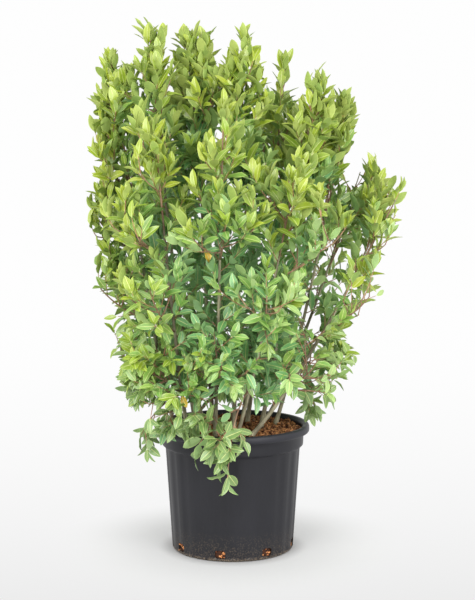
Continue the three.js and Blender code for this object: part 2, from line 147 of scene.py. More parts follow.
# Their axes: where they bend, as shares of the way out and up, how far low ones arch up, and their
# radius. Then the highest foot as a share of its stem, and how far it may lie off its height
SIDE_OUT, SIDE_UP, SIDE_ARCH, SIDE_RADIUS = 0.72, 0.3, 50, 2.8
HIGHEST_FOOT = 0.88
FOOT_SLACK = 60

# The hanging spray: its stem, the height of its foot, its bend and end, its scale and its radius
HANGING_STEM, HANGING_HEIGHT = "front_right", 440
HANGING_OVER, HANGING_END = (-6, -258, 410), (-14, -242, 196)
HANGING_SCALE, HANGING_RADIUS = 0.55, 2.0

# Sprays that lean over the front of the rim or out low at the right: stem, height of the foot, bend
# and tip
LOW_SPRAYS = (
    ("far_right", 425, (240, 5, 478), (345, -20, 520)),
    ("far_right", 395, (178, 15, 425), (226, 5, 362)),
    ("front_left", 420, (-205, -160, 395), (-240, -150, 296)),
    ("front_left", 395, (-158, -214, 385), (-172, -216, 322)),
    ("front", 420, (-108, -228, 388), (-128, -238, 322)),
    ("front", 400, (-62, -240, 362), (-64, -248, 292)),
)

# Where the viewer stands: place across, distance in front of the pot's axis, height
EYE_ACROSS, EYE_DISTANCE, EYE_HEIGHT = 12.5, 3500, 992.6

# Open places in the crown as the viewer sees them: middle across and height, half width, half
# height, and the share of the foliage that stays
SKY_GAPS = (
    (338, 1082, 32, 56, 0.0), (312, 1000, 36, 62, 0.0), (262, 805, 26, 32, 0.3),
    (440, 897, 34, 24, 0.1), (432, 815, 34, 22, 0.1), (362, 615, 44, 34, 0.0),
    (362, 668, 42, 38, 0.3), (404, 742, 34, 26, 0.1), (325, 700, 85, 50, 0.5),
    (350, 450, 44, 75, 0.0), (240, 430, 70, 70, 0.3), (96, 1238, 22, 52, 0.0),
    (158, 1222, 17, 50, 0.0), (-163, 1300, 15, 50, 0.0), (-268, 1306, 22, 40, 0.0),
    (-369, 1200, 22, 50, 0.1), (-364, 975, 24, 45, 0.15), (-30, 1085, 24, 36, 0.15),
    (250, 750, 34, 60, 0.3), (208, 600, 30, 150, 0.2), (-246, 346, 54, 28, 0.0),
    (-250, 400, 26, 22, 0.3), (-204, 345, 26, 40, 0.35), (-372, 705, 34, 40, 0.1),
    (-322, 545, 34, 36, 0.1), (72, 285, 30, 62, 0.05), (-140, 250, 60, 22, 0.3),
)

# Shares of a sky gap's size between which the foliage thickens again
GAP_EDGE = (0.85, 1.1)

# Stems that show through the lower crown: half the width and the heights of the strip before each,
# and the share of the leaves that stays there
OPEN_STEMS = ("far_left", "front_left", "front", "lobe", "far_right")
STRIP_HALF, STRIP_LOW, STRIP_HIGH, STRIP_KEPT = 11, 330, 860, 0.35
STRIP_PLACES = 40

# Second leaders beside the ends of stems: stem, height of the foot, bend and tip
LEADERS = (
    ("left_centre", 1150, (-110, 26, 1240), (-122, 24, 1352)),
    ("left_centre", 1160, (-76, 22, 1250), (-66, 18, 1350)),
    ("left", 1180, (-182, -60, 1270), (-168, -58, 1345)),
    ("far_left", 1130, (-330, 22, 1190), (-320, 20, 1285)),
    ("far_right", 1030, (276, 46, 1110), (288, 44, 1192)),
    ("lobe", 880, (402, -20, 900), (412, -20, 978)),
    ("lobe_back", 900, (368, 90, 960), (384, 80, 1012)),
    ("left_centre", 880, (-100, -60, 960), (-98, -80, 1060)),
    ("centre", 850, (58, -90, 930), (62, -105, 1020)),
)

# Sprays that fill the crown out where the viewer sees no sky through it, laid out in the same way
FILLING_SPRAYS = (
    ("centre", 1150, (-2, -50, 1210), (2, -46, 1272)),
    ("right", 1060, (224, -52, 1140), (229, -46, 1215)),
    ("far_right", 1010, (258, 30, 1090), (262, 24, 1168)),
    ("right", 880, (192, -80, 930), (198, -95, 1010)),
    ("right_centre", 860, (140, 0, 930), (150, -12, 1005)),
    ("far_left", 640, (-282, -10, 720), (-352, -26, 800)),
    ("far_left", 930, (-250, -34, 980), (-258, -42, 1062)),
    ("far_right", 820, (350, 20, 880), (400, 10, 900)),
    ("lobe", 430, (230, -60, 430), (282, -70, 395)),
)

# The source's rule for the shoots of a mass: where they stand on its axis, how long they are, their
# angle to it in degrees, by how much both vary, the cuts that they may need, and how much they lift
SHOOT_SHARES = (0.3, 0.47, 0.64, 0.8)
SHOOT_LENGTH = 84
SHOOT_ANGLE, SHOOT_ANGLE_SPREAD = 62, 14
SHOOT_LEAST, SHOOT_MOST = 0.85, 1.15
SHOOT_CUTS = (1, 0.7, 0.45)
SHOOT_LIFT = 0.2
SHOOT_RADIUS = 1.9

# The source's leaf and by how many of its lengths an axis is cut, the margins that shoots and axes
# keep to other masses, to limbs and to stems, how far they may pass the tips, and steps of lines
SOURCE_LEAF = 142
AXIS_SHORT, AXIS_LEAST = 0.6, 0.35
SPACE_MARGIN, LIMB_MARGIN, AXIS_CLEARANCE = 4, 3, 8
TIP_HEADROOM, SIDE_HEADROOM = 2, 40
AXIS_STEPS, STEM_STEPS, HEIGHT_STEPS = 6, 14, 60

# Leaf outline: shares of the length, and the half width there as a share of the widest
LEAF_ROWS = np.array([0.08, 0.2, 0.36, 0.54, 0.73, 0.89])
LEAF_HALVES = np.array([0.07, 0.62, 0.94, 1.0, 0.81, 0.44])

# Colours of a leaf's margin and underside, factors for the darkest and the palest leaf of a tint, and
# the tints, of which the first five go from the outside of the crown inwards and darken partly as painted
# shade
MARGIN = (0.62, 0.66, 0.24, 1)
PALE = (0.5, 0.62, 0.34, 1)
DARK_LEAF, PALE_LEAF = np.array([0.8, 0.89, 0.82, 1]), np.array([1.24, 1.15, 1.25, 1])
LEAF_KINDS = ("bright", "fresh", "green", "deep", "shade", "grey", "gold", "olive")
DEEP_KIND, SHADE_KIND, GREY_KIND, GOLD_KIND, OLIVE_KIND = range(3, 8)

# Triangles of one leaf, and the most that one piece may have
FACES_OF_A_LEAF = 60
MOST_TRIANGLES = 190000


def unit(vectors):
    return vectors / np.linalg.norm(vectors, axis=-1, keepdims=True)


def mixed(a, b, share):
    return a + (b - a) * share


def square_to(direction, vectors):
    """Vectors less their part along a unit direction."""
    return vectors - (vectors * direction).sum(-1, keepdims=True) * direction


def smooth_step(low, high, value):
    """0 below low, 1 above high, and 3t^2 - 2t^3 between, where t is the share of the way. Where low is
    the larger of the two, the step falls from 1 to 0 as the value rises."""
    t = np.clip((value - low) / (high - low), 0, 1)
    return t * t * (3 - 2 * t)


def seeded_numbers(seed):
    """The source's repeatable stream of numbers from 0 to 1: a counter stirred by 32-bit products."""
    state = seed & 0xFFFFFFFF
    while True:
        state = (state + 0x6D2B79F5) & 0xFFFFFFFF
        stirred = ((state ^ (state >> 15)) * (state | 1)) & 0xFFFFFFFF
        extra = ((stirred ^ (stirred >> 7)) * (stirred | 61)) & 0xFFFFFFFF
        stirred ^= (stirred + extra) & 0xFFFFFFFF
        yield ((stirred ^ (stirred >> 14)) & 0xFFFFFFFF) / 4294967296


class Path:
    """A line through fine points, read by shares of its length."""

    def __init__(self, points):
        self.points = np.asarray(points, float)
        steps = np.linalg.norm(np.diff(self.points, axis=0), axis=1)
        self.length = steps.sum()
        self.shares = np.concatenate([[0], np.cumsum(steps)]) / self.length

    def at(self, share):
        return np.stack([np.interp(share, self.shares, self.points[:, k]) for k in range(3)], axis=-1)

    def heading(self, share):
        share = np.asarray(share, float)
        before, beyond = np.maximum(share - HEADING_STEP, 0), np.minimum(share + HEADING_STEP, 1)
        return unit(self.at(beyond) - self.at(before))

    def stretch(self, start, end, steps=60):
        return Path(self.at(np.linspace(start, end, steps + 1)))


def bezier(controls, steps=200):
    """The sum of the control points, each weighted by its Bernstein polynomial of the share t."""
    controls = np.asarray(controls, float)
    degree = len(controls) - 1
    t = np.linspace(0, 1, steps + 1)[:, None]
    weights = [math.comb(degree, k) * t**k * (1 - t) ** (degree - k) for k in range(degree + 1)]
    return Path(sum(weight * control for weight, control in zip(weights, controls)))


def reach_at(height):
    return np.stack([np.interp(height, CROWN_HEIGHTS, CROWN_REACHES[:, side]) for side in range(4)], -1)


def share_of_reach(points):
    """Root of the summed powers of x and y, each as a share of the crown's reach at that height."""
    right, back, left, front = np.moveaxis(reach_at(points[..., 2]), -1, 0)
    across = np.abs(points[..., 0]) / np.where(points[..., 0] > 0, right, left)
    along = np.abs(points[..., 1]) / np.where(points[..., 1] > 0, back, front)
    return (across**CROWN_BLUNTNESS + along**CROWN_BLUNTNESS) ** (1 / CROWN_BLUNTNESS)


def seen(points):
    """Where the viewer sees points: their place across and their height on the plane of the axis."""
    scale = EYE_DISTANCE / (EYE_DISTANCE + points[..., 1])
    return (EYE_ACROSS + (points[..., 0] - EYE_ACROSS) * scale,
            EYE_HEIGHT + (points[..., 2] - EYE_HEIGHT) * scale)


def in_outline(points, room=0):
    """Whether the viewer sees points within the crown's reach to left and right, give or take room."""
    across, height = seen(points)
    right, _, left, _ = np.moveaxis(reach_at(height), -1, 0)
    return (across < right + room) & (across > -left - room)


def share_across(points):
    """How far across the viewer sees points, as a share of the crown's reach on that side."""
    across, height = seen(points)
    right, _, left, _ = np.moveaxis(reach_at(height), -1, 0)
    return np.maximum(across / right, -across / left)


def share_kept(points):
    """The share of the foliage that stays at points, which falls to that of a sky gap inside it."""
    across, height = seen(points)
    share = np.ones(len(points))
    for middle, level, half_width, half_height, kept in SKY_GAPS:
        out = np.hypot((across - middle) / half_width, (height - level) / half_height)
        share *= mixed(kept, 1, smooth_step(*GAP_EDGE, out))
    return share


def before_stems(points, stems):
    """Whether points are nearer to the viewer than one of the open stems and seen over it."""
    across, height = seen(points)
    before = np.zeros(len(points), bool)
    for stem in stems:
        if stem["name"] in OPEN_STEMS:
            line = stem["line"].at(np.linspace(0, 1, STRIP_PLACES))
            line_across, line_height = seen(line)
            aside = np.abs(across - np.interp(height, line_height, line_across))
            before |= (aside < STRIP_HALF) & (points[:, 1] < np.interp(height, line_height, line[:, 1]))
    return before & (height > STRIP_LOW) & (height < STRIP_HIGH)


def distances(points, paths):
    """Distance from each point to each path, as the least over the path's straight pieces."""
    start, span = paths[:, :-1], np.diff(paths, axis=1)
    offset = points[:, None, None, :] - start[None]
    share = (offset * span[None]).sum(-1) / np.maximum((span * span).sum(-1)[None], 1e-9)
    nearest = offset - np.clip(share, 0, 1)[..., None] * span[None]
    return np.linalg.norm(nearest, axis=-1).min(-1)


def branch_direction(axis, turn, angle):
    """The axis turned away by an angle, to a side that stands across it at a turn round it."""
    axis = np.asarray(axis, float)
    turn, angle = np.asarray(turn)[..., None], np.asarray(angle)[..., None]
    side = unit(np.cross(np.array([1.0, 0.0, 0.0]), axis))
    side = side * np.cos(turn) + np.cross(axis, side) * np.sin(turn)
    return axis * np.cos(angle) + side * np.sin(angle)


def plant_stems():
    """The stems' lines: each leans out from the medium, then climbs more steeply to its end."""
    stems = []
    for name, (foot, top, radius, leafy) in STEMS.items():
        start, end = np.array([*foot, MEDIUM_TOP + GAP], float), np.array(top, float)
        bends = [np.append(mixed(start[:2], end[:2], lean), mixed(start[2], end[2], climb))
                 for lean, climb in STEM_BENDS]
        whole = bezier([start, *bends, end])
        tip_share = 1 - leafy / whole.length
        line = whole.stretch(0, tip_share)
        stems.append({
            "name": name, "radius": radius, "whole": whole, "tip_share": tip_share, "line": line,
            "points": line.at(np.linspace(0, 1, STEM_STEPS + 1)),
        })
    return stems


def stem_named(stems, name):
    return next(stem for stem in stems if stem["name"] == name)


def stem_radius(radius, share):
    taper = 1 - (1 - STEM_TIP_SHARE) * share
    return radius * (taper + FLARE * np.exp(-share / FLARE_HEIGHT))


def foot_share(stem, height):
    share = 0
    while share < HIGHEST_FOOT and stem["line"].at(share)[2] < height:
        share += 1 / HEIGHT_STEPS
    return share


def side_line(foot, tip):
    bend = mixed(foot, tip, SIDE_OUT)
    bend[2] = mixed(foot[2], tip[2], SIDE_UP) + (SIDE_ARCH if tip[2] < foot[2] else 0)
    return bezier([foot, bend, tip])


def clear_of_others(line, own, stems):
    points = line.at(np.linspace(0, 1, AXIS_STEPS * 2 + 1))
    gaps = distances(points, np.array([stem["points"] for stem in stems]))
    room = np.array([stem["radius"] + AXIS_CLEARANCE for stem in stems])
    fine = gaps > room
    fine[:, own] = True
    return fine.all()


def plant_masses(stems):
    """The lines of the masses of foliage, as the source lays them."""
    masses = []
    for stem in stems:
        start = stem["tip_share"] + GAP / stem["whole"].length
        masses.append({"name": "foliage_top_" + stem["name"], "line": stem["whole"].stretch(start, 1),
                       "on_tip": True, "scale": 1.0, "radius": stem["radius"] * STEM_TIP_SHARE})
    for tier, height, rise, bearings in TIERS:
        for bearing in bearings:
            tip = np.array([math.cos(math.radians(bearing)), math.sin(math.radians(bearing)), height])
            tip[:2] /= share_of_reach(tip)
            best = None
            for own, stem in enumerate(stems):
                foot = stem["line"].at(foot_share(stem, height - rise))
                line = side_line(foot, tip)
                distance = np.linalg.norm(foot - tip)
                suits = abs(foot[2] - height + rise) < FOOT_SLACK and clear_of_others(line, own, stems)
                if suits and (best is None or distance < best[0]):
                    best = distance, line
            masses.append({"name": f"foliage_{tier}_{bearing}", "line": best[1], "on_tip": False,
                           "scale": 1.0, "radius": SIDE_RADIUS})
    stem = stem_named(stems, HANGING_STEM)
    foot = stem["line"].at(foot_share(stem, HANGING_HEIGHT))
    masses.append({"name": "foliage_hanging", "line": bezier([foot, HANGING_OVER, HANGING_END]),
                   "on_tip": False, "scale": HANGING_SCALE, "radius": HANGING_RADIUS})
    for mass in masses:
        mass["points"] = mass["line"].at(np.linspace(0, 1, AXIS_STEPS + 1))
        mass["top"] = mass["points"][:, 2].max() + (TIP_HEADROOM if mass["on_tip"] else SIDE_HEADROOM)
    return masses


def clear_of_pot(points):
    outwards = np.hypot(points[..., 0], points[..., 1])
    return (points[..., 2] > POT_HEIGHT + LIMB_MARGIN) | (outwards > RIM_RADIUS + LIMB_MARGIN)


def keeps_to_space(points, index, masses, stems):
    gaps = distances(points, np.array([mass["points"] for mass in masses]))
    own = gaps[:, index].copy()
    gaps[:, index] = np.inf
    stem_gaps = distances(points, np.array([stem["points"] for stem in stems]))
    room = np.array([stem["radius"] + LIMB_MARGIN for stem in stems])
    return bool(
        (gaps > own[:, None] + SPACE_MARGIN).all() and (stem_gaps > room).all()
        and clear_of_pot(points).all() and (share_of_reach(points) < 1).all()
        and (points[:, 2] < masses[index]["top"]).all()
    )


def source_shoots(index, masses, stems):
    """The shoots that the source grows on a mass, with the turn at which its first leaf stands."""
    mass = masses[index]
    numbers = seeded_numbers(index + 1)
    short = AXIS_SHORT * SOURCE_LEAF * mass["scale"] / mass["line"].length
    axis = mass["line"].stretch(0, max(1 - short, AXIS_LEAST))
    phase = next(numbers) * math.tau
    shoots = []
    for k, share in enumerate(SHOOT_SHARES):
        angle = math.radians(SHOOT_ANGLE + SHOOT_ANGLE_SPREAD * (next(numbers) - 0.5))
        direction = branch_direction(axis.heading(share), phase + k * GOLDEN_ANGLE, angle)
        direction[2] += SHOOT_LIFT
        direction = unit(direction)
        reach = SHOOT_LENGTH * mass["scale"] * mixed(SHOOT_LEAST, SHOOT_MOST, next(numbers))
        root = axis.at(share)
        for cut in SHOOT_CUTS:
            ends = root + direction * reach * cut * np.array([[0.5], [1.0]])
            if keeps_to_space(ends, index, masses, stems):
                shoots.append((root, direction, reach * cut))
                break
    return phase, shoots


def curved_lines(roots, directions, lengths, lifts, steps=4):
    """Lines that start along a direction and lean upwards on the way: the sum of equal steps along
    the unit of direction plus lift times the share of the way times up."""
    share = np.linspace(0, 1, steps + 1)
    headings = unit(directions[:, None, :] + (lifts[:, None] * share[:-1])[..., None] * UP)
    walked = np.cumsum(headings * (lengths / steps)[:, None, None], axis=1)
    return np.concatenate([roots[:, None, :], roots[:, None, :] + walked], axis=1)


# Growth of the boughs: the seed of the crown's random draws, the shares of a carrier at which its
# twigs begin, the radii of tips, the steps of a bough and the places on it where it may end, the
# fewest leaves of a twig, how many leaf lengths a line stops short of its end, and the cuts that a
# line may need
CROWN_SEED = 11
BOUGH_TWIGS, SHOOT_TWIGS, STEM_TWIGS, STEM_LEAFY = 0.14, 0.25, 0.02, 0.11
BOUGH_TIP_RADIUS, SHOOT_TIP_RADIUS = 1.5, 1.2
BOUGH_STEPS, BOUGH_PLACES = 20, 41
LEAST_LEAVES = 3
AXIS_TRIM, SPRAY_TRIM = 0.95, 0.8
SHOOT_DROP, SHOOT_CURVE, SHOOT_STEPS = 0.12, 0.9, 8
SHOOT_STRETCHES = np.array([1.1, 0.85, 0.6, 0.4])
TWIG_CUTS = (1.0, 0.8, 0.6, 0.4)
SHOOT_END_ROOM, TWIG_END_ROOM = 0.6, 0.7


def grow_crown(sizes):
    """Every bough, twig and leaf of the crown.

    Each mass has its axis and the source's shoots. Finer twigs stand on both, and on the stems
    inside the crown, a golden angle apart, and every twig carries leaves to its tip."""
    stems = plant_stems()
    masses = plant_masses(stems)
    random = np.random.default_rng(CROWN_SEED)
    tops = np.array([stem["whole"].points[-1] for stem in stems] + [tip for *_, tip in LEADERS])
    leaf = sizes.leaf_length / MM
    boughs, carriers = {}, []
    tries = len(SHOOT_STRETCHES)
    for index, mass in enumerate(masses):
        phase, shoots = source_shoots(index, masses, stems)
        end = 1 - leaf * AXIS_TRIM * mass["scale"] / mass["line"].length
        axis = mass["line"].stretch(0, end, BOUGH_STEPS)
        boughs[len(carriers)] = axis, mass["radius"], BOUGH_TIP_RADIUS
        carriers.append((axis, phase, BOUGH_TWIGS, mass["scale"], False))
        for k, (root, direction, reach) in enumerate(shoots):
            starts, headings = np.tile(root, (tries, 1)), np.tile(direction - UP * SHOOT_DROP, (tries, 1))
            lines = curved_lines(starts, headings, reach * SHOOT_STRETCHES, np.full(tries, SHOOT_CURVE),
                                 SHOOT_STEPS)
            room = np.flatnonzero(has_room(lines[:, -1] + UP * leaf * SHOOT_END_ROOM, tops))
            if len(room):
                shoot = Path(lines[room[0]])
                boughs[len(carriers)] = shoot, SHOOT_RADIUS, SHOOT_TIP_RADIUS
                carriers.append((shoot, phase + k, SHOOT_TWIGS, mass["scale"], False))
    for sprays in (LOW_SPRAYS + LEADERS, FILLING_SPRAYS):
        for k, (name, height, over, tip) in enumerate(sprays):
            stem = stem_named(stems, name)
            spray = bezier([stem["line"].at(foot_share(stem, height)), over, tip])
            spray = spray.stretch(0, 1 - leaf * SPRAY_TRIM / spray.length, BOUGH_STEPS)
            boughs[len(carriers)] = spray, SHOOT_RADIUS, SHOOT_TIP_RADIUS
            carriers.append((spray, k, BOUGH_TWIGS, 1, False))
        # The stems' own twigs stand between the two groups. Each stem's radius serves as its first turn
        if sprays is not FILLING_SPRAYS:
            for stem in stems:
                line = stem["line"].stretch(STEM_LEAFY, 1)
                carriers.append((line, stem["radius"], STEM_TWIGS, 1, True))
    twigs = [twigs_on(*carrier, sizes, random) for carrier in carriers]
    carrier = np.repeat(np.arange(len(twigs)), [len(part[0]) for part in twigs])
    roots, directions, lengths, lifts, turns, scales = (np.concatenate(part) for part in zip(*twigs))

    # A twig that would leave the crown or meet the pot is shortened, or else left out
    kept = np.zeros(len(roots), bool)
    luck = random.uniform(0, 1, len(roots))
    for cut in TWIG_CUTS:
        lines = curved_lines(roots, directions, lengths * cut, lifts)
        ends = lines[:, -1] + unit(lines[:, -1] - lines[:, -2]) * leaf * TWIG_END_ROOM
        fits = has_room(ends, tops) & clear_of_pot(lines).all(1) & (luck < share_kept(ends)) & ~kept
        lengths = np.where(fits, lengths * cut, lengths)
        kept |= fits
    lengths = lengths[kept]
    lines = curved_lines(roots[kept], directions[kept], lengths, lifts[kept])
    leaves = grow_leaves(lines, lengths, turns[kept], scales[kept], tops, stems, sizes, random)

    # A twig with too few leaves is left out, and a bough ends at its outermost twig that is left
    leafy = np.bincount(leaves["twig"], minlength=len(lines)) >= LEAST_LEAVES
    leaves = {key: value[leafy[leaves["twig"]]] for key, value in leaves.items()}
    cut_boughs = []
    for k, (bough, radius, tip_radius) in boughs.items():
        feet = roots[kept][leafy & (carrier[kept] == k)]
        if len(feet):
            places = bough.at(np.linspace(0, 1, BOUGH_PLACES))
            outermost = np.linalg.norm(feet[:, None] - places, axis=2).argmin(1).max()
            end = min(1, (outermost + 1) / (BOUGH_PLACES - 1))
            cut = bough.stretch(0, end, BOUGH_STEPS)
            cut_boughs.append((cut, radius, mixed(radius, tip_radius, end)))
    return stems, cut_boughs, lines[leafy], leaves


def within_reach(points, tops, share):
    """Whether points keep to a share of the crown's reach, or stand close beside one of the tops."""
    return (share_of_reach(points) < share) | (beside_tops(points, tops).min(1) < TOP_ROOM)


def top_slack(points, tops):
    """How far high points close beside a top may stand outside the outline that the viewer sees."""
    high = smooth_step(*SLACK_HEIGHTS, points[:, 2])
    return TOP_SLACK * high * (beside_tops(points, tops).min(1) < TOP_ROOM)


def has_room(points, tops):
    """Whether points lie inside the crown, clear of the pot and under the tops' cones."""
    outlined = in_outline(points, top_slack(points, tops))
    return (within_reach(points, tops, 1) & clear_of_pot(points) & outlined
            & (points[:, 2] < top_height(points, tops) + TWIG_HEADROOM))


# Habit of the twigs, low in the crown and high in it where a pair is given. Angles are in degrees,
# and inner twigs stand on the stems
TWIG_HEIGHTS = (430, 840)
HANGING_TWIGS, LEAST_TWIGS = 4, 2
FIRST_TWIG, LAST_TWIG = 0.6, 0.985
PLACE_SPREAD, TURN_SPREAD, ANGLE_SPREAD = 0.2, 0.25, 8
TWIG_ANGLES, INNER_ANGLE = (56, 40), 60
TWIG_OUTWARD, INNER_OUTWARD = 0.16, 0.05
TWIG_RISES = (0.02, 0.22)
INNER_LENGTHS = (60, 120)
TWIG_LENGTHS, TWIG_LENGTH_SPREAD = (106, 60), (0.75, 1.25)
TWIG_LIFTS, TWIG_LIFT_SPREAD = (-0.25, 0.85), (-0.2, 0.35)
LEADER_FROM, LEADER_AIM, LEADER_OVER, LEADER_LIFT = 0.86, 0.97, 18, 0.15


def twigs_on(line, phase, start, scale, inner, sizes, random):
    """The twigs on one line, a golden angle apart and shorter towards its tip, and the leader that
    carries the line on. Low ones spread and sag, high ones stand up. Returns their roots, first
    directions, lengths, lifts, turns and scales."""
    spacing = (sizes.inner_spacing if inner else sizes.twig_spacing) / MM
    count = max(LEAST_TWIGS, int(round(line.length * (1 - start) / (spacing * scale))))
    if scale < 1:
        count = HANGING_TWIGS
    share = start + (1 - start) * (np.arange(count) + FIRST_TWIG) / count
    share = np.clip(share + random.normal(0, PLACE_SPREAD / count, count), start, LAST_TWIG)
    root = line.at(share)
    upright = smooth_step(*TWIG_HEIGHTS, root[:, 2])
    turn = phase + np.arange(count) * GOLDEN_ANGLE + random.normal(0, TURN_SPREAD, count)
    angle = INNER_ANGLE if inner else mixed(*TWIG_ANGLES, upright)
    angle = random.normal(0, ANGLE_SPREAD, count) + angle
    direction = branch_direction(line.heading(share), turn, np.radians(angle))
    outward = level_outward(root) * (INNER_OUTWARD if inner else TWIG_OUTWARD)
    direction = unit(direction + outward + UP * mixed(*TWIG_RISES, upright)[:, None])
    if inner:
        length = random.uniform(*INNER_LENGTHS, count)
    else:
        length = mixed(*TWIG_LENGTHS, share) * random.uniform(*TWIG_LENGTH_SPREAD, count)
    lift = mixed(*TWIG_LIFTS, upright) + random.uniform(*TWIG_LIFT_SPREAD, count)
    if inner:
        return root, direction, length * scale, lift, turn, np.full(count, scale)
    tip = line.at(1.0)
    leader = line.at(np.array([LEADER_FROM]))
    return (
        np.concatenate([root, leader]),
        np.concatenate([direction, line.heading(np.array([LEADER_AIM]))]),
        np.append(length * scale, np.linalg.norm(tip - leader[0]) + LEADER_OVER * scale),
        np.append(lift, LEADER_LIFT * (tip[2] > TWIG_HEIGHTS[0])),
        np.append(turn, phase),
        np.full(count + 1, scale),
    )


def level_outward(points):
    """The level direction away from the pot's axis at each point."""
    return unit(points * np.array([1, 1, 0]) + 1e-6)


def beside_tops(points, tops):
    return np.hypot(points[:, None, 0] - tops[:, 0], points[:, None, 1] - tops[:, 1])


def top_height(points, tops):
    """Height of the crown's top over a point: the highest of the blunt cones that end in the tops."""
    return (tops[:, 2] - TOP_SLOPE * np.maximum(beside_tops(points, tops) - TOP_WIDTH, 0)).max(1)


# Habit of the leaves on a twig, low in the crown and high in it where a pair is given. Shares are
# of the twig's length, angles are in degrees, and a leaf leans by the sum of its pulls
LEAF_HEIGHTS, GROWING_HEIGHTS = (430, 800), (380, 1100)
LOW_SPACING = 0.82
FIRST_LEAF, LEAFY_SHARE = 0.14, 0.86
LEAST_ON_TWIG, TIP_LEAVES = 4, 2
LEAF_TURN_SPREAD = 0.3
LEAF_ANGLES, LEAF_CLOSING, CLOSING_POWER = (68, 58), (34, 40), 1.5
LEAF_PULL_UP, LEAF_PULL_OUT = (-0.3, 0.3), 0.08
FACE_PULL_ALONG, FACE_PULL_UP, FACE_PULL_OUT, FACE_SPREAD = 0.7, (0.45, 0.4), (0.2, 0.4), 0.34

# Sizes of the leaves as shares of the full length: at the foot and the tip of a twig, by chance,
# low and high in the crown, and beside the pot. Then widths low and high in the crown and by chance,
# and the angles of a blade's bend and fold with the height of its waves
TIP_LEAF_FROM, TWIG_SIZES = 0.6, (1.02, 0.82)
LEAF_LENGTH_SPREAD, CROWN_SIZES = (0.72, 1.16), (0.76, 1.02)
RIM_SIZE, RIM_HEIGHTS = 1.16, (280, 380)
CROWN_WIDTHS, LEAF_WIDTH_SPREAD = (1.12, 1.03), (0.86, 1.18)
BLADE_BEND, BLADE_FOLD, BLADE_WAVE = (0.1, 0.7), (0.15, 0.5), (0.02, 0.11)

# Where leaves stay: how far they may pass the reach and the outline, and how they thin out in the
# sky gaps, at the crown's edges, before the open stems and over the rim
LEAF_REACH, LEAF_ROOM, STRAY_ROOM, STRAY_CHANCE = 1.04, 2, 10, 0.12
LEAF_MIDDLE, GAP_POWER = 0.6, 0.6
EDGE_FROM, EDGE_KEPT = 0.86, 0.6
OVER_RIM_HEIGHTS, OVER_RIM_KEPT = (300, 380), 0.85
LEAF_HEADROOM, LOWEST_LEAF, HANGING_SPARSE = 16, 175, 330
# Below these heights a leaf's tone falls to this share, a painted shade over the rim
LOW_TONE_HEIGHTS, LOW_TONE = (300, 430), 0.6


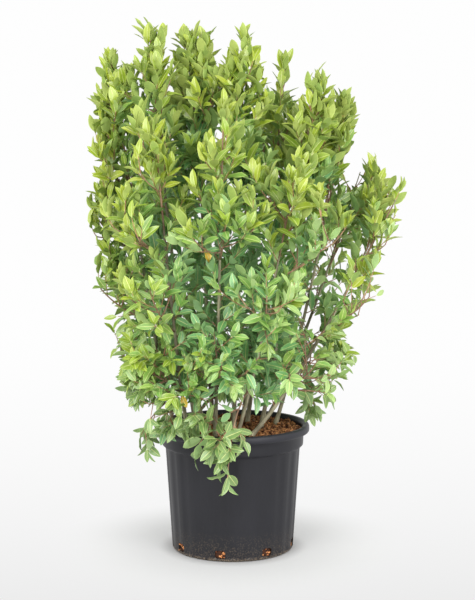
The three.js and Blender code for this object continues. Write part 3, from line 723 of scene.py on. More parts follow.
def grow_leaves(lines, lengths, turns, scales, tops, stems, sizes, random):
    """Leaves along each twig, a golden angle apart, more upright and smaller towards its tip, and
    smaller and closer together low in the crown."""
    closer = mixed(LOW_SPACING, 1, smooth_step(*GROWING_HEIGHTS, lines[:, 0, 2]))
    spacing = sizes.leaf_spacing / MM * closer
    counts = np.maximum(LEAST_ON_TWIG, np.round(lengths * LEAFY_SHARE / spacing)).astype(int) + TIP_LEAVES
    twig = np.repeat(np.arange(len(lines)), counts)
    order = np.arange(len(twig)) - np.repeat(np.cumsum(counts) - counts, counts)
    share = FIRST_LEAF + LEAFY_SHARE * np.minimum(1, (order + 0.5) / (counts[twig] - TIP_LEAVES))
    count = len(twig)

    position = share * (lines.shape[1] - 1)
    step = np.minimum(position.astype(int), lines.shape[1] - 2)
    root = mixed(lines[twig, step], lines[twig, step + 1], (position - step)[:, None])
    heading = unit(lines[twig, step + 1] - lines[twig, step])
    upright = smooth_step(*LEAF_HEIGHTS, root[:, 2])
    outward = level_outward(root)

    turn = turns[twig] + order * GOLDEN_ANGLE + random.normal(0, LEAF_TURN_SPREAD, count)
    angle = mixed(*LEAF_ANGLES, upright) - mixed(*LEAF_CLOSING, upright) * share**CLOSING_POWER
    direction = branch_direction(heading, turn, np.radians(angle + random.normal(0, ANGLE_SPREAD, count)))
    direction = unit(direction + UP * mixed(*LEAF_PULL_UP, upright)[:, None] + outward * LEAF_PULL_OUT)

    face = unit(square_to(direction, heading)) * FACE_PULL_ALONG
    face = (face + UP * mixed(*FACE_PULL_UP, upright)[:, None] + random.normal(0, FACE_SPREAD, (count, 3))
            + outward * mixed(*FACE_PULL_OUT, upright)[:, None])
    face = unit(square_to(direction, face))

    full = sizes.leaf_length / MM
    length = full * mixed(*TWIG_SIZES, smooth_step(TIP_LEAF_FROM, 1, share))
    length = length * random.uniform(*LEAF_LENGTH_SPREAD, count)
    length = length * mixed(*CROWN_SIZES, smooth_step(*GROWING_HEIGHTS, root[:, 2]))
    length = length * mixed(RIM_SIZE, 1, smooth_step(*RIM_HEIGHTS, root[:, 2]))
    ratio = sizes.leaf_width / sizes.leaf_length * mixed(*CROWN_WIDTHS, upright)
    width = length * ratio * random.uniform(*LEAF_WIDTH_SPREAD, count)

    tip = root + direction * length[:, None]
    middle = root + direction * (length * LEAF_MIDDLE)[:, None]
    luck = random.uniform(0, 1, count)
    room = LEAF_ROOM + STRAY_ROOM * (luck < STRAY_CHANCE) + top_slack(tip, tops)
    reached = within_reach(tip, tops, LEAF_REACH) & in_outline(tip, room)
    tops = top_height(tip, tops)
    edge = mixed(1, EDGE_KEPT, smooth_step(EDGE_FROM, 1.0, share_across(tip)))
    thinned = share_kept(middle) ** GAP_POWER * edge
    thinned = thinned * np.where(before_stems(middle, stems), STRIP_KEPT, 1)
    thinned = thinned * mixed(OVER_RIM_KEPT, 1, smooth_step(*OVER_RIM_HEIGHTS, tip[:, 2]))
    below_top = tip[:, 2] < np.minimum(tops + LEAF_HEADROOM, HIGHEST_LEAF)
    kept = (clear_of_pot(tip) & clear_of_pot(middle) & below_top & reached
            & (tip[:, 2] > LOWEST_LEAF) & (luck < thinned))
    sparse = (scales[twig] < 1) & (order % 2 > 0) & (root[:, 2] > HANGING_SPARSE)
    # Painted shade: leaves over the rim get a darker tone
    rim_painted_shade = mixed(LOW_TONE, 1, smooth_step(*LOW_TONE_HEIGHTS, tip[:, 2]))
    leaves = {
        "twig": twig, "root": root, "direction": direction, "face": face,
        "length": length, "width": width,
        "kind": leaf_kinds(root, tip, share, twig, tops, random),
        "bend": random.uniform(*BLADE_BEND, count),
        "fold": random.uniform(*BLADE_FOLD, count),
        "wave": random.uniform(*BLADE_WAVE, count),
        "phase": random.uniform(0, math.tau, count),
        "tone": random.uniform(0, 1, count) * rim_painted_shade,
    }
    keep = np.flatnonzero(kept & ~sparse)
    return {key: value[keep] for key, value in leaves.items()}


# Tints: the brightness of a spray from how far out and how high it stands, the steps that part the
# five greens, and where sprays turn grey, olive or gold. The darker tints inside the crown, low on it,
# in its core and over the rim are partly painted shade, and the lighter tint of the lobe is painted light
SHOWN_REACH, SHOWN_DEPTH, FRONT_REACH = (0.5, 0.97), (-330, -20), 0.77
BRIGHT_HEIGHTS, BRIGHT_SHARES = (330, 1250), (0.46, 0.84)
SPRAY_STEP, SPRAY_MIDDLE, SPRAY_SPREAD, LEAF_SPREAD = 0.24, 0.45, 0.1, 0.08
RIM_PAINTED_SHADE, RIM_SHADE = 0.36, (400, 310)
LOBE_PAINTED_LIGHT, LOBE_ACROSS = 0.15, (300, 370)
CORE_SHADES, CORE_ACROSS, CORE_HEIGHTS = (-0.14, 0.02), (0.12, 0.5), (1240, 1060)
TINT_STEPS = [0.12, 0.3, 0.52, 0.72]
GREY_HEIGHTS, GREY_SHARES, FLANK_ACROSS = (990, 430), (0.8, 0.3), (0.68, 1.0)
GREY_LEFT, GREY_ACROSS = 0.35, (-120, 90)
GREY_LOW, GREY_LOW_HEIGHTS = 0.1, (320, 430)
OLIVE_SHARE, OLIVE_HEIGHTS = 0.95, (460, 350)
GOLD_CHANCE = 0.0005


def leaf_kinds(root, tip, share, twig, tops, random):
    """Which tint each leaf has. It goes by spray: how far out and high the spray stands, a chance of
    its own, and a step brighter towards the spray's tip. The darker tints inside the crown, in its core
    and over the rim are partly painted shade, and the lighter tint of the lobe is painted light."""
    height, aside = tip[:, 2], share_across(tip)
    out = smooth_step(*SHOWN_REACH, share_of_reach(tip * np.array([1, FRONT_REACH, 1])))
    above = smooth_step(*SHOWN_DEPTH, height - tops)
    sprays = random.normal(0, SPRAY_SPREAD, twig.max() + 1)
    # Partly painted shade: sprays far inside the crown and low on it get darker tints
    value = np.maximum(out, above) * mixed(*BRIGHT_SHARES, smooth_step(*BRIGHT_HEIGHTS, height))
    value = value + SPRAY_STEP * (share - SPRAY_MIDDLE) + sprays[twig]
    # Painted shade: leaves just over the rim turn darker
    value += random.normal(0, LEAF_SPREAD, len(twig)) - RIM_PAINTED_SHADE * smooth_step(*RIM_SHADE, height)
    # Painted light: leaves on the lobe at the right turn lighter
    value += LOBE_PAINTED_LIGHT * smooth_step(*LOBE_ACROSS, tip[:, 0])
    # Painted shade: leaves in the crown's core high up turn darker
    value += mixed(*CORE_SHADES, smooth_step(*CORE_ACROSS, aside)) * smooth_step(*CORE_HEIGHTS, height)
    kind = SHADE_KIND - np.digitize(value, TINT_STEPS)
    chance = random.uniform(0, 1, twig.max() + 1)[twig]
    greyed = smooth_step(*GREY_HEIGHTS, root[:, 2])
    greyed *= mixed(*GREY_SHARES, smooth_step(*FLANK_ACROSS, aside))
    greyed *= mixed(GREY_LEFT, 1, smooth_step(*GREY_ACROSS, tip[:, 0]))
    greyed *= mixed(GREY_LOW, 1, smooth_step(*GREY_LOW_HEIGHTS, height))
    kind = np.where((chance < greyed) & (kind < DEEP_KIND), GREY_KIND, kind)
    # Olive, a darker tint for leaves beside and over the rim, is partly painted shade
    kind = np.where(chance < OLIVE_SHARE * smooth_step(*OLIVE_HEIGHTS, height), OLIVE_KIND, kind)
    gold = random.uniform(0, 1, len(twig)) < GOLD_CHANCE
    return np.where(gold & (kind < SHADE_KIND), GOLD_KIND, kind)


def make_piece(name, points, faces, materials, face_material=None, uv=None, tone=None, smooth=True):
    """A mesh object at the origin from points in metres and lists of faces of one size each."""
    mesh = bpy.data.meshes.new(name)
    loops = np.concatenate([np.asarray(group).ravel() for group in faces]).astype(np.int32)
    sizes = np.concatenate([np.full(len(group), np.asarray(group).shape[1]) for group in faces])
    mesh.vertices.add(len(points))
    mesh.vertices.foreach_set("co", np.asarray(points, np.float32).ravel())
    mesh.loops.add(len(loops))
    mesh.loops.foreach_set("vertex_index", loops)
    mesh.polygons.add(len(sizes))
    mesh.polygons.foreach_set("loop_start", (np.cumsum(sizes) - sizes).astype(np.int32))
    for material in materials:
        mesh.materials.append(material)
    if face_material is not None:
        mesh.polygons.foreach_set("material_index", np.asarray(face_material, np.int32))
    mesh.update(calc_edges=True)
    if uv is not None:
        layer = mesh.uv_layers.new(name="Blade")
        layer.uv.foreach_set("vector", uv[loops].astype(np.float32).ravel())
    if tone is not None:
        mesh.attributes.new("tone", "FLOAT", "POINT").data.foreach_set("value", tone.astype(np.float32))
    if smooth:
        mesh.shade_smooth()
    piece = bpy.data.objects.new(name, mesh)
    bpy.context.scene.collection.objects.link(piece)
    return piece


def finish_piece(piece, nodes):
    """Say which body carries the piece and which nodes it replaces."""
    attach(piece, "root")
    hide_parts(*nodes)


def face_outwards(piece):
    work = bmesh.new()
    work.from_mesh(piece.data)
    bmesh.ops.recalc_face_normals(work, faces=work.faces)
    work.to_mesh(piece.data)
    work.free()


def ring_quads(rings, columns):
    """The corners of the cells between each of the rings and the next, closed round the axis."""
    ring, column = np.meshgrid(rings, np.arange(columns), indexing="ij")
    near, far = ring * columns + column, ring * columns + (column + 1) % columns
    return np.stack([near, far, far + columns, near + columns], -1)


def tubes(lines, radii, sides):
    """Round bars along lines of equal count of points: each ring stands across the line there, with
    its sides carried on from the ring before. Returns points, side quads and the two end faces."""
    lines, radii = np.asarray(lines, float), np.asarray(radii, float)
    count, rings = lines.shape[:2]
    heading = unit(np.gradient(lines, axis=1))
    aside = np.empty_like(lines)
    aside[:, 0] = unit(np.cross(heading[:, 0], ANY_DIRECTION))
    for ring in range(1, rings):
        aside[:, ring] = unit(square_to(heading[:, ring], aside[:, ring - 1]))
    other = np.cross(heading, aside)
    turn = np.arange(sides) * math.tau / sides
    across = aside[:, :, None] * np.cos(turn)[:, None] + other[:, :, None] * np.sin(turn)[:, None]
    if radii.ndim == 2:
        radii = radii[..., None]
    points = lines[:, :, None] + across * radii[..., None]
    base = (np.arange(count) * rings * sides)[:, None, None]
    quads = ring_quads(np.arange(rings - 1), sides)[None] + base[..., None]
    ends = np.stack([np.arange(sides)[::-1], (rings - 1) * sides + np.arange(sides)])[None] + base
    return points.reshape(-1, 3), quads.reshape(-1, 4), ends.reshape(-1, sides)


# A leaf's mesh: rows of five points, which are its left rim, the two edges of the midrib, its right
# rim and a point underneath, and then the leaf's foot and tip. The midrib's half width is a share
# of the leaf's
ROWS, ROW_POINTS = len(LEAF_ROWS), 5
FOOT_POINT, TIP_POINT = ROWS * ROW_POINTS, ROWS * ROW_POINTS + 1
LEAF_POINTS = TIP_POINT + 1
RIB_HALF, RIB_TAPER, RIB_MOST = 0.085, 0.6, 0.6
WAVES, WAVE_HEIGHT = 1.6, 2.2
LEAF_THICKNESS = 0.55
BLADE, RIB, UNDER = 0, 1, 2
LEFT, LEFT_RIB, RIGHT_RIB, RIGHT, BELOW = range(ROW_POINTS)


def leaf_mesh(leaves, chosen):
    """All chosen leaves as one mesh. A blade's point at share t of the length and u of the half
    width lies on an arc of the bend's angle; it rises with u for the fold and with a sine for the
    wavy margin. Each row has two rims, the two edges of the midrib, and one point underneath."""
    part = {key: value[chosen] for key, value in leaves.items()}
    count = len(chosen)
    rib = np.minimum(RIB_HALF * (1 - RIB_TAPER * LEAF_ROWS), RIB_MOST * LEAF_HALVES)
    columns = np.stack([-LEAF_HALVES, -rib, rib, LEAF_HALVES, np.zeros(ROWS)], 1)
    t = np.concatenate([np.repeat(LEAF_ROWS, ROW_POINTS), [0, 1]])
    across = np.concatenate([columns.ravel(), [0, 0]])
    under = np.concatenate([np.tile([0, 0, 0, 0, 1.0], ROWS), [0, 0]])

    length, half = part["length"][:, None], part["width"][:, None] / 2
    bend, fold = part["bend"][:, None], part["fold"][:, None]
    wave = part["wave"][:, None] * np.sin(math.tau * WAVES * t + part["phase"][:, None] + np.sign(across))
    x = length * np.sin(bend * t) / bend
    y = half * across * np.cos(fold)
    z = -length * (1 - np.cos(bend * t)) / bend
    z = z + half * np.abs(across) * (np.sin(fold) + wave * WAVE_HEIGHT) - under * LEAF_THICKNESS
    third = np.cross(part["face"], part["direction"])
    points = (part["root"][:, None] + part["direction"][:, None] * x[..., None]
              + third[:, None] * y[..., None] + part["face"][:, None] * z[..., None])

    steps = np.arange(ROWS - 1)[:, None] * ROW_POINTS
    cells = [[k, ROW_POINTS + k, ROW_POINTS + k + 1, k + 1] for k in (LEFT, LEFT_RIB, RIGHT_RIB)]
    cells += [[LEFT, BELOW, ROW_POINTS + BELOW, ROW_POINTS + LEFT],
              [BELOW, RIGHT, ROW_POINTS + RIGHT, ROW_POINTS + BELOW]]
    quads = np.concatenate([steps + np.array(cell) for cell in cells])
    quad_material = np.repeat([BLADE, RIB, BLADE, UNDER, UNDER], ROWS - 1)
    foot, tip, last = FOOT_POINT, TIP_POINT, FOOT_POINT - ROW_POINTS
    fans = [[foot, k, k + 1] for k in (LEFT, LEFT_RIB, RIGHT_RIB)]
    fans += [[last + k, tip, last + k + 1] for k in (LEFT, LEFT_RIB, RIGHT_RIB)]
    fans += [[foot, BELOW, LEFT], [foot, RIGHT, BELOW],
             [last + LEFT, last + BELOW, tip], [last + BELOW, last + RIGHT, tip]]
    fan_material = [RIB, RIB, RIB, BLADE, RIB, BLADE, UNDER, UNDER, UNDER, UNDER]
    base = (np.arange(count) * LEAF_POINTS)[:, None, None]
    all_quads = (quads[None] + base).reshape(-1, 4)
    all_fans = (np.array(fans)[None] + base).reshape(-1, 3)
    material = np.concatenate([np.tile(quad_material, count), np.tile(fan_material, count)])
    half_there = np.concatenate([np.repeat(LEAF_HALVES, ROW_POINTS), [1, 1]])
    uv = np.tile(np.stack([across / half_there, t], 1), (count, 1))
    rims = np.zeros((LEAF_POINTS, LEAF_POINTS), bool)
    for side in (LEFT, RIGHT):
        rim = [foot, *range(side, FOOT_POINT, ROW_POINTS), tip]
        rims[rim[:-1], rim[1:]] = True
    tone = np.repeat(part["tone"], LEAF_POINTS)
    return points.reshape(-1, 3) * MM, [all_quads, all_fans], material, uv, tone, rims | rims.T


def mark_rims(piece, rims):
    """Edges whose two points are neighbours on a leaf's rim are sharp, so each face shades alone."""
    ends = np.empty(len(piece.data.edges) * 2, np.int32)
    piece.data.edges.foreach_get("vertices", ends)
    ends = ends.reshape(-1, 2) % len(rims)
    piece.data.edges.foreach_set("use_edge_sharp", rims[ends[:, 0], ends[:, 1]])


def new_material(name):
    material = bpy.data.materials.new(name)
    material.use_nodes = True
    tree = material.node_tree
    shader = next(node for node in tree.nodes if node.type == "BSDF_PRINCIPLED")
    return material, tree, shader


def add_node(tree, kind, inputs=None, **values):
    """A node with its settings. Each of its inputs takes a socket, which is linked, or a value."""
    node = tree.nodes.new(kind)
    for key, value in values.items():
        setattr(node, key, value)
    for key, value in (inputs or {}).items():
        if isinstance(value, bpy.types.NodeSocket):
            tree.links.new(value, node.inputs[key])
        else:
            node.inputs[key].default_value = value
    return node


def maths(tree, operation, *values):
    """The result of a sum on sockets or numbers."""
    return add_node(tree, "ShaderNodeMath", dict(enumerate(values)), operation=operation).outputs[0]


def place(tree, scale=(1, 1, 1)):
    """Object coordinates, stretched by a scale."""
    here = add_node(tree, "ShaderNodeTexCoord").outputs["Object"]
    return add_node(tree, "ShaderNodeMapping", {"Vector": here, "Scale": scale}).outputs["Vector"]


def part_of(tree, vector, axis):
    return add_node(tree, "ShaderNodeSeparateXYZ", {"Vector": vector}).outputs[axis]


def noise(tree, vector, scale, detail=4.0, roughness=0.55):
    inputs = {"Vector": vector, "Scale": scale, "Detail": detail, "Roughness": roughness}
    return add_node(tree, "ShaderNodeTexNoise", inputs).outputs["Fac"]


def spread(tree, value, low, high, to_low=0.0, to_high=1.0, smooth=False):
    """The value's place between low and high, carried over to the range from to_low to to_high."""
    inputs = {"Value": value, "From Min": low, "From Max": high, "To Min": to_low, "To Max": to_high}
    kind = "SMOOTHSTEP" if smooth else "LINEAR"
    return add_node(tree, "ShaderNodeMapRange", inputs, interpolation_type=kind).outputs["Result"]


def blend(tree, share, first, second):
    node = add_node(tree, "ShaderNodeMix", data_type="RGBA", blend_type="MIX")
    for name, value in (("Factor", share), ("A", first), ("B", second)):
        socket = next(s for s in node.inputs if s.name == name and s.enabled)
        if isinstance(value, bpy.types.NodeSocket):
            tree.links.new(value, socket)
        else:
            socket.default_value = value
    return next(s for s in node.outputs if s.enabled)


def finish_material(tree, shader, base, roughness, height=None, strength=0.0, distance=0.0):
    """Link the base colour, set the roughness or link it, and raise a relief where height is given."""
    tree.links.new(base, shader.inputs["Base Color"])
    if isinstance(roughness, bpy.types.NodeSocket):
        tree.links.new(roughness, shader.inputs["Roughness"])
    else:
        shader.inputs["Roughness"].default_value = roughness
    if height is not None:
        inputs = {"Height": height, "Strength": strength, "Distance": distance}
        bump = add_node(tree, "ShaderNodeBump", inputs)
        tree.links.new(bump.outputs["Normal"], shader.inputs["Normal"])


def solid(colour, factor=1.0):
    """A plain colour made darker or lighter by a factor."""
    return tuple(min(1.0, channel * factor) for channel in colour[:3]) + (1.0,)


# Leaf blades: side veins along the length of a blade, their slant and their width, and how much
# paler the underside is. The glow of the floor falls to 1/e over this many metres
VEINS, VEIN_SLANT, VEIN_WIDTH = 11.0, 2.2, 0.14
PALE_SHARE = 0.28
GLOW_FADE = 1.2


def blade_material(name, colour, roughness, gloss):
    """Leathery leaf: side veins across the blade, a pale margin, mottling, and a gloss that varies."""
    material, tree, shader = new_material(name)
    uv = add_node(tree, "ShaderNodeUVMap", uv_map="Blade").outputs["UV"]
    aside = maths(tree, "ABSOLUTE", part_of(tree, uv, "X"))
    along = maths(tree, "MULTIPLY", part_of(tree, uv, "Y"), VEINS)
    slant = maths(tree, "MULTIPLY_ADD", aside, -VEIN_SLANT, along)
    vein = spread(tree, maths(tree, "PINGPONG", slant, 1.0), 0.0, VEIN_WIDTH, 1.0, 0.0)
    mottle = noise(tree, place(tree), scale=55, detail=3)
    tone = add_node(tree, "ShaderNodeAttribute", attribute_name="tone").outputs["Fac"]
    base = blend(tree, tone, solid(colour * DARK_LEAF), solid(colour * PALE_LEAF))
    base = blend(tree, spread(tree, mottle, 0.35, 0.7, 0.35, 0), base, solid(colour, 0.6))
    base = blend(tree, spread(tree, vein, 0, 1, 0, 0.25), base, solid(colour, 1.5))
    margin = mixed(np.array(solid(colour, 1.6)), np.array(MARGIN), 0.5)
    base = blend(tree, spread(tree, aside, 0.76, 0.98, 0, 0.7), base, margin)
    worn = spread(tree, mottle, 0.3, 0.75, roughness - 0.07, roughness + 0.09)
    finish_material(tree, shader, base, worn, vein, strength=0.12, distance=0.0006)
    shader.inputs["Specular IOR Level"].default_value = gloss
    return material


def plain_material(name, colour, roughness, scale, contrast=0.14):
    """One colour with soft mottling and a fine relief."""
    material, tree, shader = new_material(name)
    mottle = noise(tree, place(tree), scale)
    dark, light = solid(colour, 1 - contrast), solid(colour, 1 + contrast)
    base = blend(tree, spread(tree, mottle, 0.32, 0.7), dark, light)
    finish_material(tree, shader, base, roughness, mottle, strength=0.2, distance=0.0008)
    return material


def bark_material(name, dark, light, roughness=0.78):
    """Bark with long streaks up the stem, pale flecks and fine cracks."""
    material, tree, shader = new_material(name)
    streaks = noise(tree, place(tree, (1, 1, 0.12)), scale=190, detail=5, roughness=0.62)
    patches = noise(tree, place(tree, (1, 1, 0.4)), scale=26, detail=3)
    flecks = noise(tree, place(tree, (1, 1, 1.6)), scale=330, detail=2)
    base = blend(tree, spread(tree, patches, 0.38, 0.64), dark, light)
    base = blend(tree, spread(tree, streaks, 0.42, 0.68, 0, 0.6), base, solid(dark, 0.55))
    base = blend(tree, spread(tree, flecks, 0.66, 0.74, 0, 0.45), base, solid(light, 1.35))
    finish_material(tree, shader, base, roughness, streaks, strength=0.5, distance=0.0012)
    return material


def pot_material(colour, dust):
    """Moulded plastic: fine grain, cloudy wear, dust in specks that thicken near the foot, and a painted
    highlight round the rim.
    """
    material, tree, shader = new_material("pot_plastic")
    cloud = noise(tree, place(tree, (1, 1, 0.45)), scale=9, detail=5)
    grain = noise(tree, place(tree), scale=900, detail=2)
    specks = noise(tree, place(tree), scale=260, detail=3, roughness=0.7)
    height = part_of(tree, place(tree), "Z")
    near_foot = spread(tree, height, 0.075, 0.004)
    lip = spread(tree, height, 0.009, 0.004)
    base = blend(tree, spread(tree, cloud, 0.35, 0.7), solid(colour, 0.8), solid(colour, 1.3))
    # Painted highlight: the plastic turns lighter high on the pot, round the rim
    base = blend(tree, spread(tree, height, 0.298, 0.322, 0, 0.7), base, solid(colour, 2.6))
    dusty = maths(tree, "MULTIPLY", spread(tree, specks, 0.5, 0.72), near_foot)
    base = blend(tree, spread(tree, dusty, 0, 1, 0, 0.6), base, dust)
    edge = maths(tree, "MULTIPLY", spread(tree, specks, 0.42, 0.6), lip)
    base = blend(tree, spread(tree, edge, 0, 1, 0, 0.75), base, solid(dust, 1.3))
    worn = spread(tree, cloud, 0.3, 0.75, 0.4, 0.56)
    finish_material(tree, shader, base, worn, grain, strength=0.16, distance=0.0003)
    shader.inputs["Specular IOR Level"].default_value = 0.36
    return material


def chip_material(name, dark, light):
    """Chips of bark: two browns in patches, with dark fibres along each chip."""
    material, tree, shader = new_material(name)
    tone = noise(tree, place(tree), scale=95, detail=4, roughness=0.6)
    fibre = noise(tree, place(tree, (1, 1, 3)), scale=420, detail=3)
    base = blend(tree, spread(tree, tone, 0.4, 0.6), dark, light)
    base = blend(tree, spread(tree, fibre, 0.45, 0.75, 0, 0.5), base, solid(dark, 0.5))
    finish_material(tree, shader, base, 0.92, fibre, strength=0.6, distance=0.001)
    return material


def floor_material(near, far, glow):
    """Pale floor, with painted shade that darkens it towards the viewer and a painted contact shadow
    close round the foot. Away from the pot it passes into a glow, which falls short of the white surround
    by a share that dies away with the distance."""
    material, tree, shader = new_material("floor_paper")
    along = part_of(tree, place(tree), "Y")
    out = add_node(tree, "ShaderNodeVectorMath", {0: place(tree)}, operation="LENGTH").outputs["Value"]
    # Painted shade: the floor is darker towards the viewer
    base = blend(tree, spread(tree, along, -0.35, 0), near, far)
    # Painted contact shadow: a dark ring close round the pot's foot
    painted_contact_shadow = spread(tree, out, 0.155, 0.2, 0.3, 0, smooth=True)
    base = blend(tree, painted_contact_shadow, base, solid(near, 0.15))
    grain = noise(tree, place(tree), scale=3, detail=2)
    base = blend(tree, spread(tree, grain, 0.3, 0.7, 0, 0.02), base, solid(far, 0.9))
    finish_material(tree, shader, base, 0.9)
    shader.inputs["Specular IOR Level"].default_value = 0.1
    behind = maths(tree, "MAXIMUM", along, -0.5)
    short = maths(tree, "POWER", math.exp(-1 / GLOW_FADE), behind)
    wide = spread(tree, out, 2.5, 7, -0.1, 0)
    strength = maths(tree, "MULTIPLY_ADD", short, wide, glow)
    light = add_node(tree, "ShaderNodeEmission", {"Color": (1, 1, 1, 1), "Strength": strength})
    fade = spread(tree, out, 0.24, 0.5, smooth=True)
    mix = add_node(tree, "ShaderNodeMixShader", {0: fade, 1: shader.outputs[0], 2: light.outputs[0]})
    output = next(node for node in tree.nodes if node.type == "OUTPUT_MATERIAL")
    tree.links.new(mix.outputs[0], output.inputs["Surface"])
    return material


def colour_property(name, description, default):
    return FloatVectorProperty(name=name, description=description, default=default, size=4,
                               subtype="COLOR", min=0, max=1)


def length_property(name, description, default, least, most):
    return FloatProperty(name=name, description=description, default=default, min=least, max=most,
                         unit="LENGTH")


def count_property(name, description, default, most):
    return IntProperty(name=name, description=description, default=default, min=0, max=most)


def power_property(name, description, default):
    return FloatProperty(name=name, description=description, default=default, min=0, max=2000,
                         unit="POWER")


class LaurelLeaves(bpy.types.PropertyGroup):
    leaf_length: length_property("Leaf length", "Length of a full-grown leaf", 0.0605, 0.02, 0.2)
    leaf_width: length_property("Leaf width", "Width of a full-grown leaf", 0.0225, 0.005, 0.1)
    leaf_spacing: length_property("Leaf spacing", "Distance between leaves on a twig", 0.0078, 0.004, 0.1)
    twig_spacing: length_property("Twig spacing", "Distance between twigs on a shoot", 0.0255, 0.01, 0.3)
    inner_spacing: length_property("Inner spacing", "Distance between twigs on a stem", 0.035, 0.01, 0.3)
    bright: colour_property("Bright", "Young leaves at the outermost tips", (0.365, 0.47, 0.036, 1))
    fresh: colour_property("Fresh", "Leaves near the outside", (0.29, 0.43, 0.038, 1))
    green: colour_property("Green", "Leaves of middle depth", (0.25, 0.42, 0.074, 1))
    deep: colour_property("Deep", "Leaves well inside", (0.212, 0.415, 0.082, 1))
    shade: colour_property("Shade", "Innermost leaves", (0.175, 0.4, 0.135, 1))
    grey: colour_property("Grey", "Leaves low on the plant", (0.37, 0.56, 0.17, 1))
    gold: colour_property("Gold", "Single turned leaves", (0.75, 0.47, 0.05, 1))
    olive: colour_property("Olive", "Leaves beside and over the rim", (0.21, 0.345, 0.095, 1))
    rib: colour_property("Midrib", "Midrib and leaf stalk", (0.66, 0.7, 0.28, 1))


class LaurelWood(bpy.types.PropertyGroup):
    stem_dark: colour_property("Bark, dark", "Darker bark of the stems", (0.2, 0.17, 0.11, 1))
    stem_light: colour_property("Bark, light", "Lighter bark of the stems", (0.5, 0.46, 0.3, 1))
    bough_dark: colour_property("Bough, dark", "Darker bark of the boughs", (0.22, 0.12, 0.07, 1))
    bough_light: colour_property("Bough, light", "Lighter bark of the boughs", (0.45, 0.29, 0.18, 1))
    twig_dark: colour_property("Twig, dark", "Darker bark of the young twigs", (0.34, 0.15, 0.08, 1))
    twig_light: colour_property("Twig, light", "Lighter bark of the young twigs", (0.56, 0.32, 0.19, 1))


class LaurelPot(bpy.types.PropertyGroup):
    flutes: count_property("Flutes", "Shallow flutes round the body", 24, 64)
    flute_depth: length_property("Flute depth", "How deep a flute is", 0.0014, 0, 0.01)
    plastic: colour_property("Plastic", "Colour of the pot", (0.0115, 0.0115, 0.015, 1))
    dust: colour_property("Dust", "Dust on the pot", (0.2, 0.15, 0.1, 1))
    chips: count_property("Chips", "Loose chips on the medium", 2200, 8000)
    chip_dark: colour_property("Chip, dark", "Darker chips", (0.11, 0.035, 0.012, 1))
    chip_light: colour_property("Chip, light", "Lighter chips", (0.6, 0.27, 0.1, 1))


class LaurelStage(bpy.types.PropertyGroup):
    floor_near: colour_property("Floor, near", "Colour of the floor in front", (0.68, 0.68, 0.68, 1))
    floor_far: colour_property("Floor, far", "Colour of the floor beside the pot", (0.77, 0.77, 0.77, 1))
    surround: FloatProperty(name="Surround", description="Strength of the white surround", default=0.99,
                            min=0, max=5)
    key: power_property("Key light", "Power of the soft light at the left", 66)
    fill: power_property("Fill light", "Power of the soft light at the right", 66)
    focal: FloatProperty(name="Focal length", description="Focal length of the camera in millimetres",
                         default=81.56, min=10, max=500)


class LAUREL_OT_pot(bpy.types.Operator):
    """Build the moulded pot with its rolled rim, fluted body and drain holes"""
    bl_idname = "laurel.pot"
    bl_label = "Pot"

    def execute(self, context):
        sizes = context.scene.laurel_pot
        points, faces = pot_surface(sizes.flutes, sizes.flute_depth / MM)
        piece = make_piece("pot_shell", points * MM, faces, [pot_material(sizes.plastic, sizes.dust)])
        face_outwards(piece)
        piece.data.set_sharp_from_angle(angle=math.radians(50))
        finish_piece(piece, ["pot"])
        return {"FINISHED"}


# Cells of the pot's grid: across a drain hole, up it, and across a hole with the wall beside it
HOLE_COLUMNS, HOLE_ROWS, SECTOR_COLUMNS = 6, 5, 24
FLUTE_EDGES = (-0.35, 0.75)


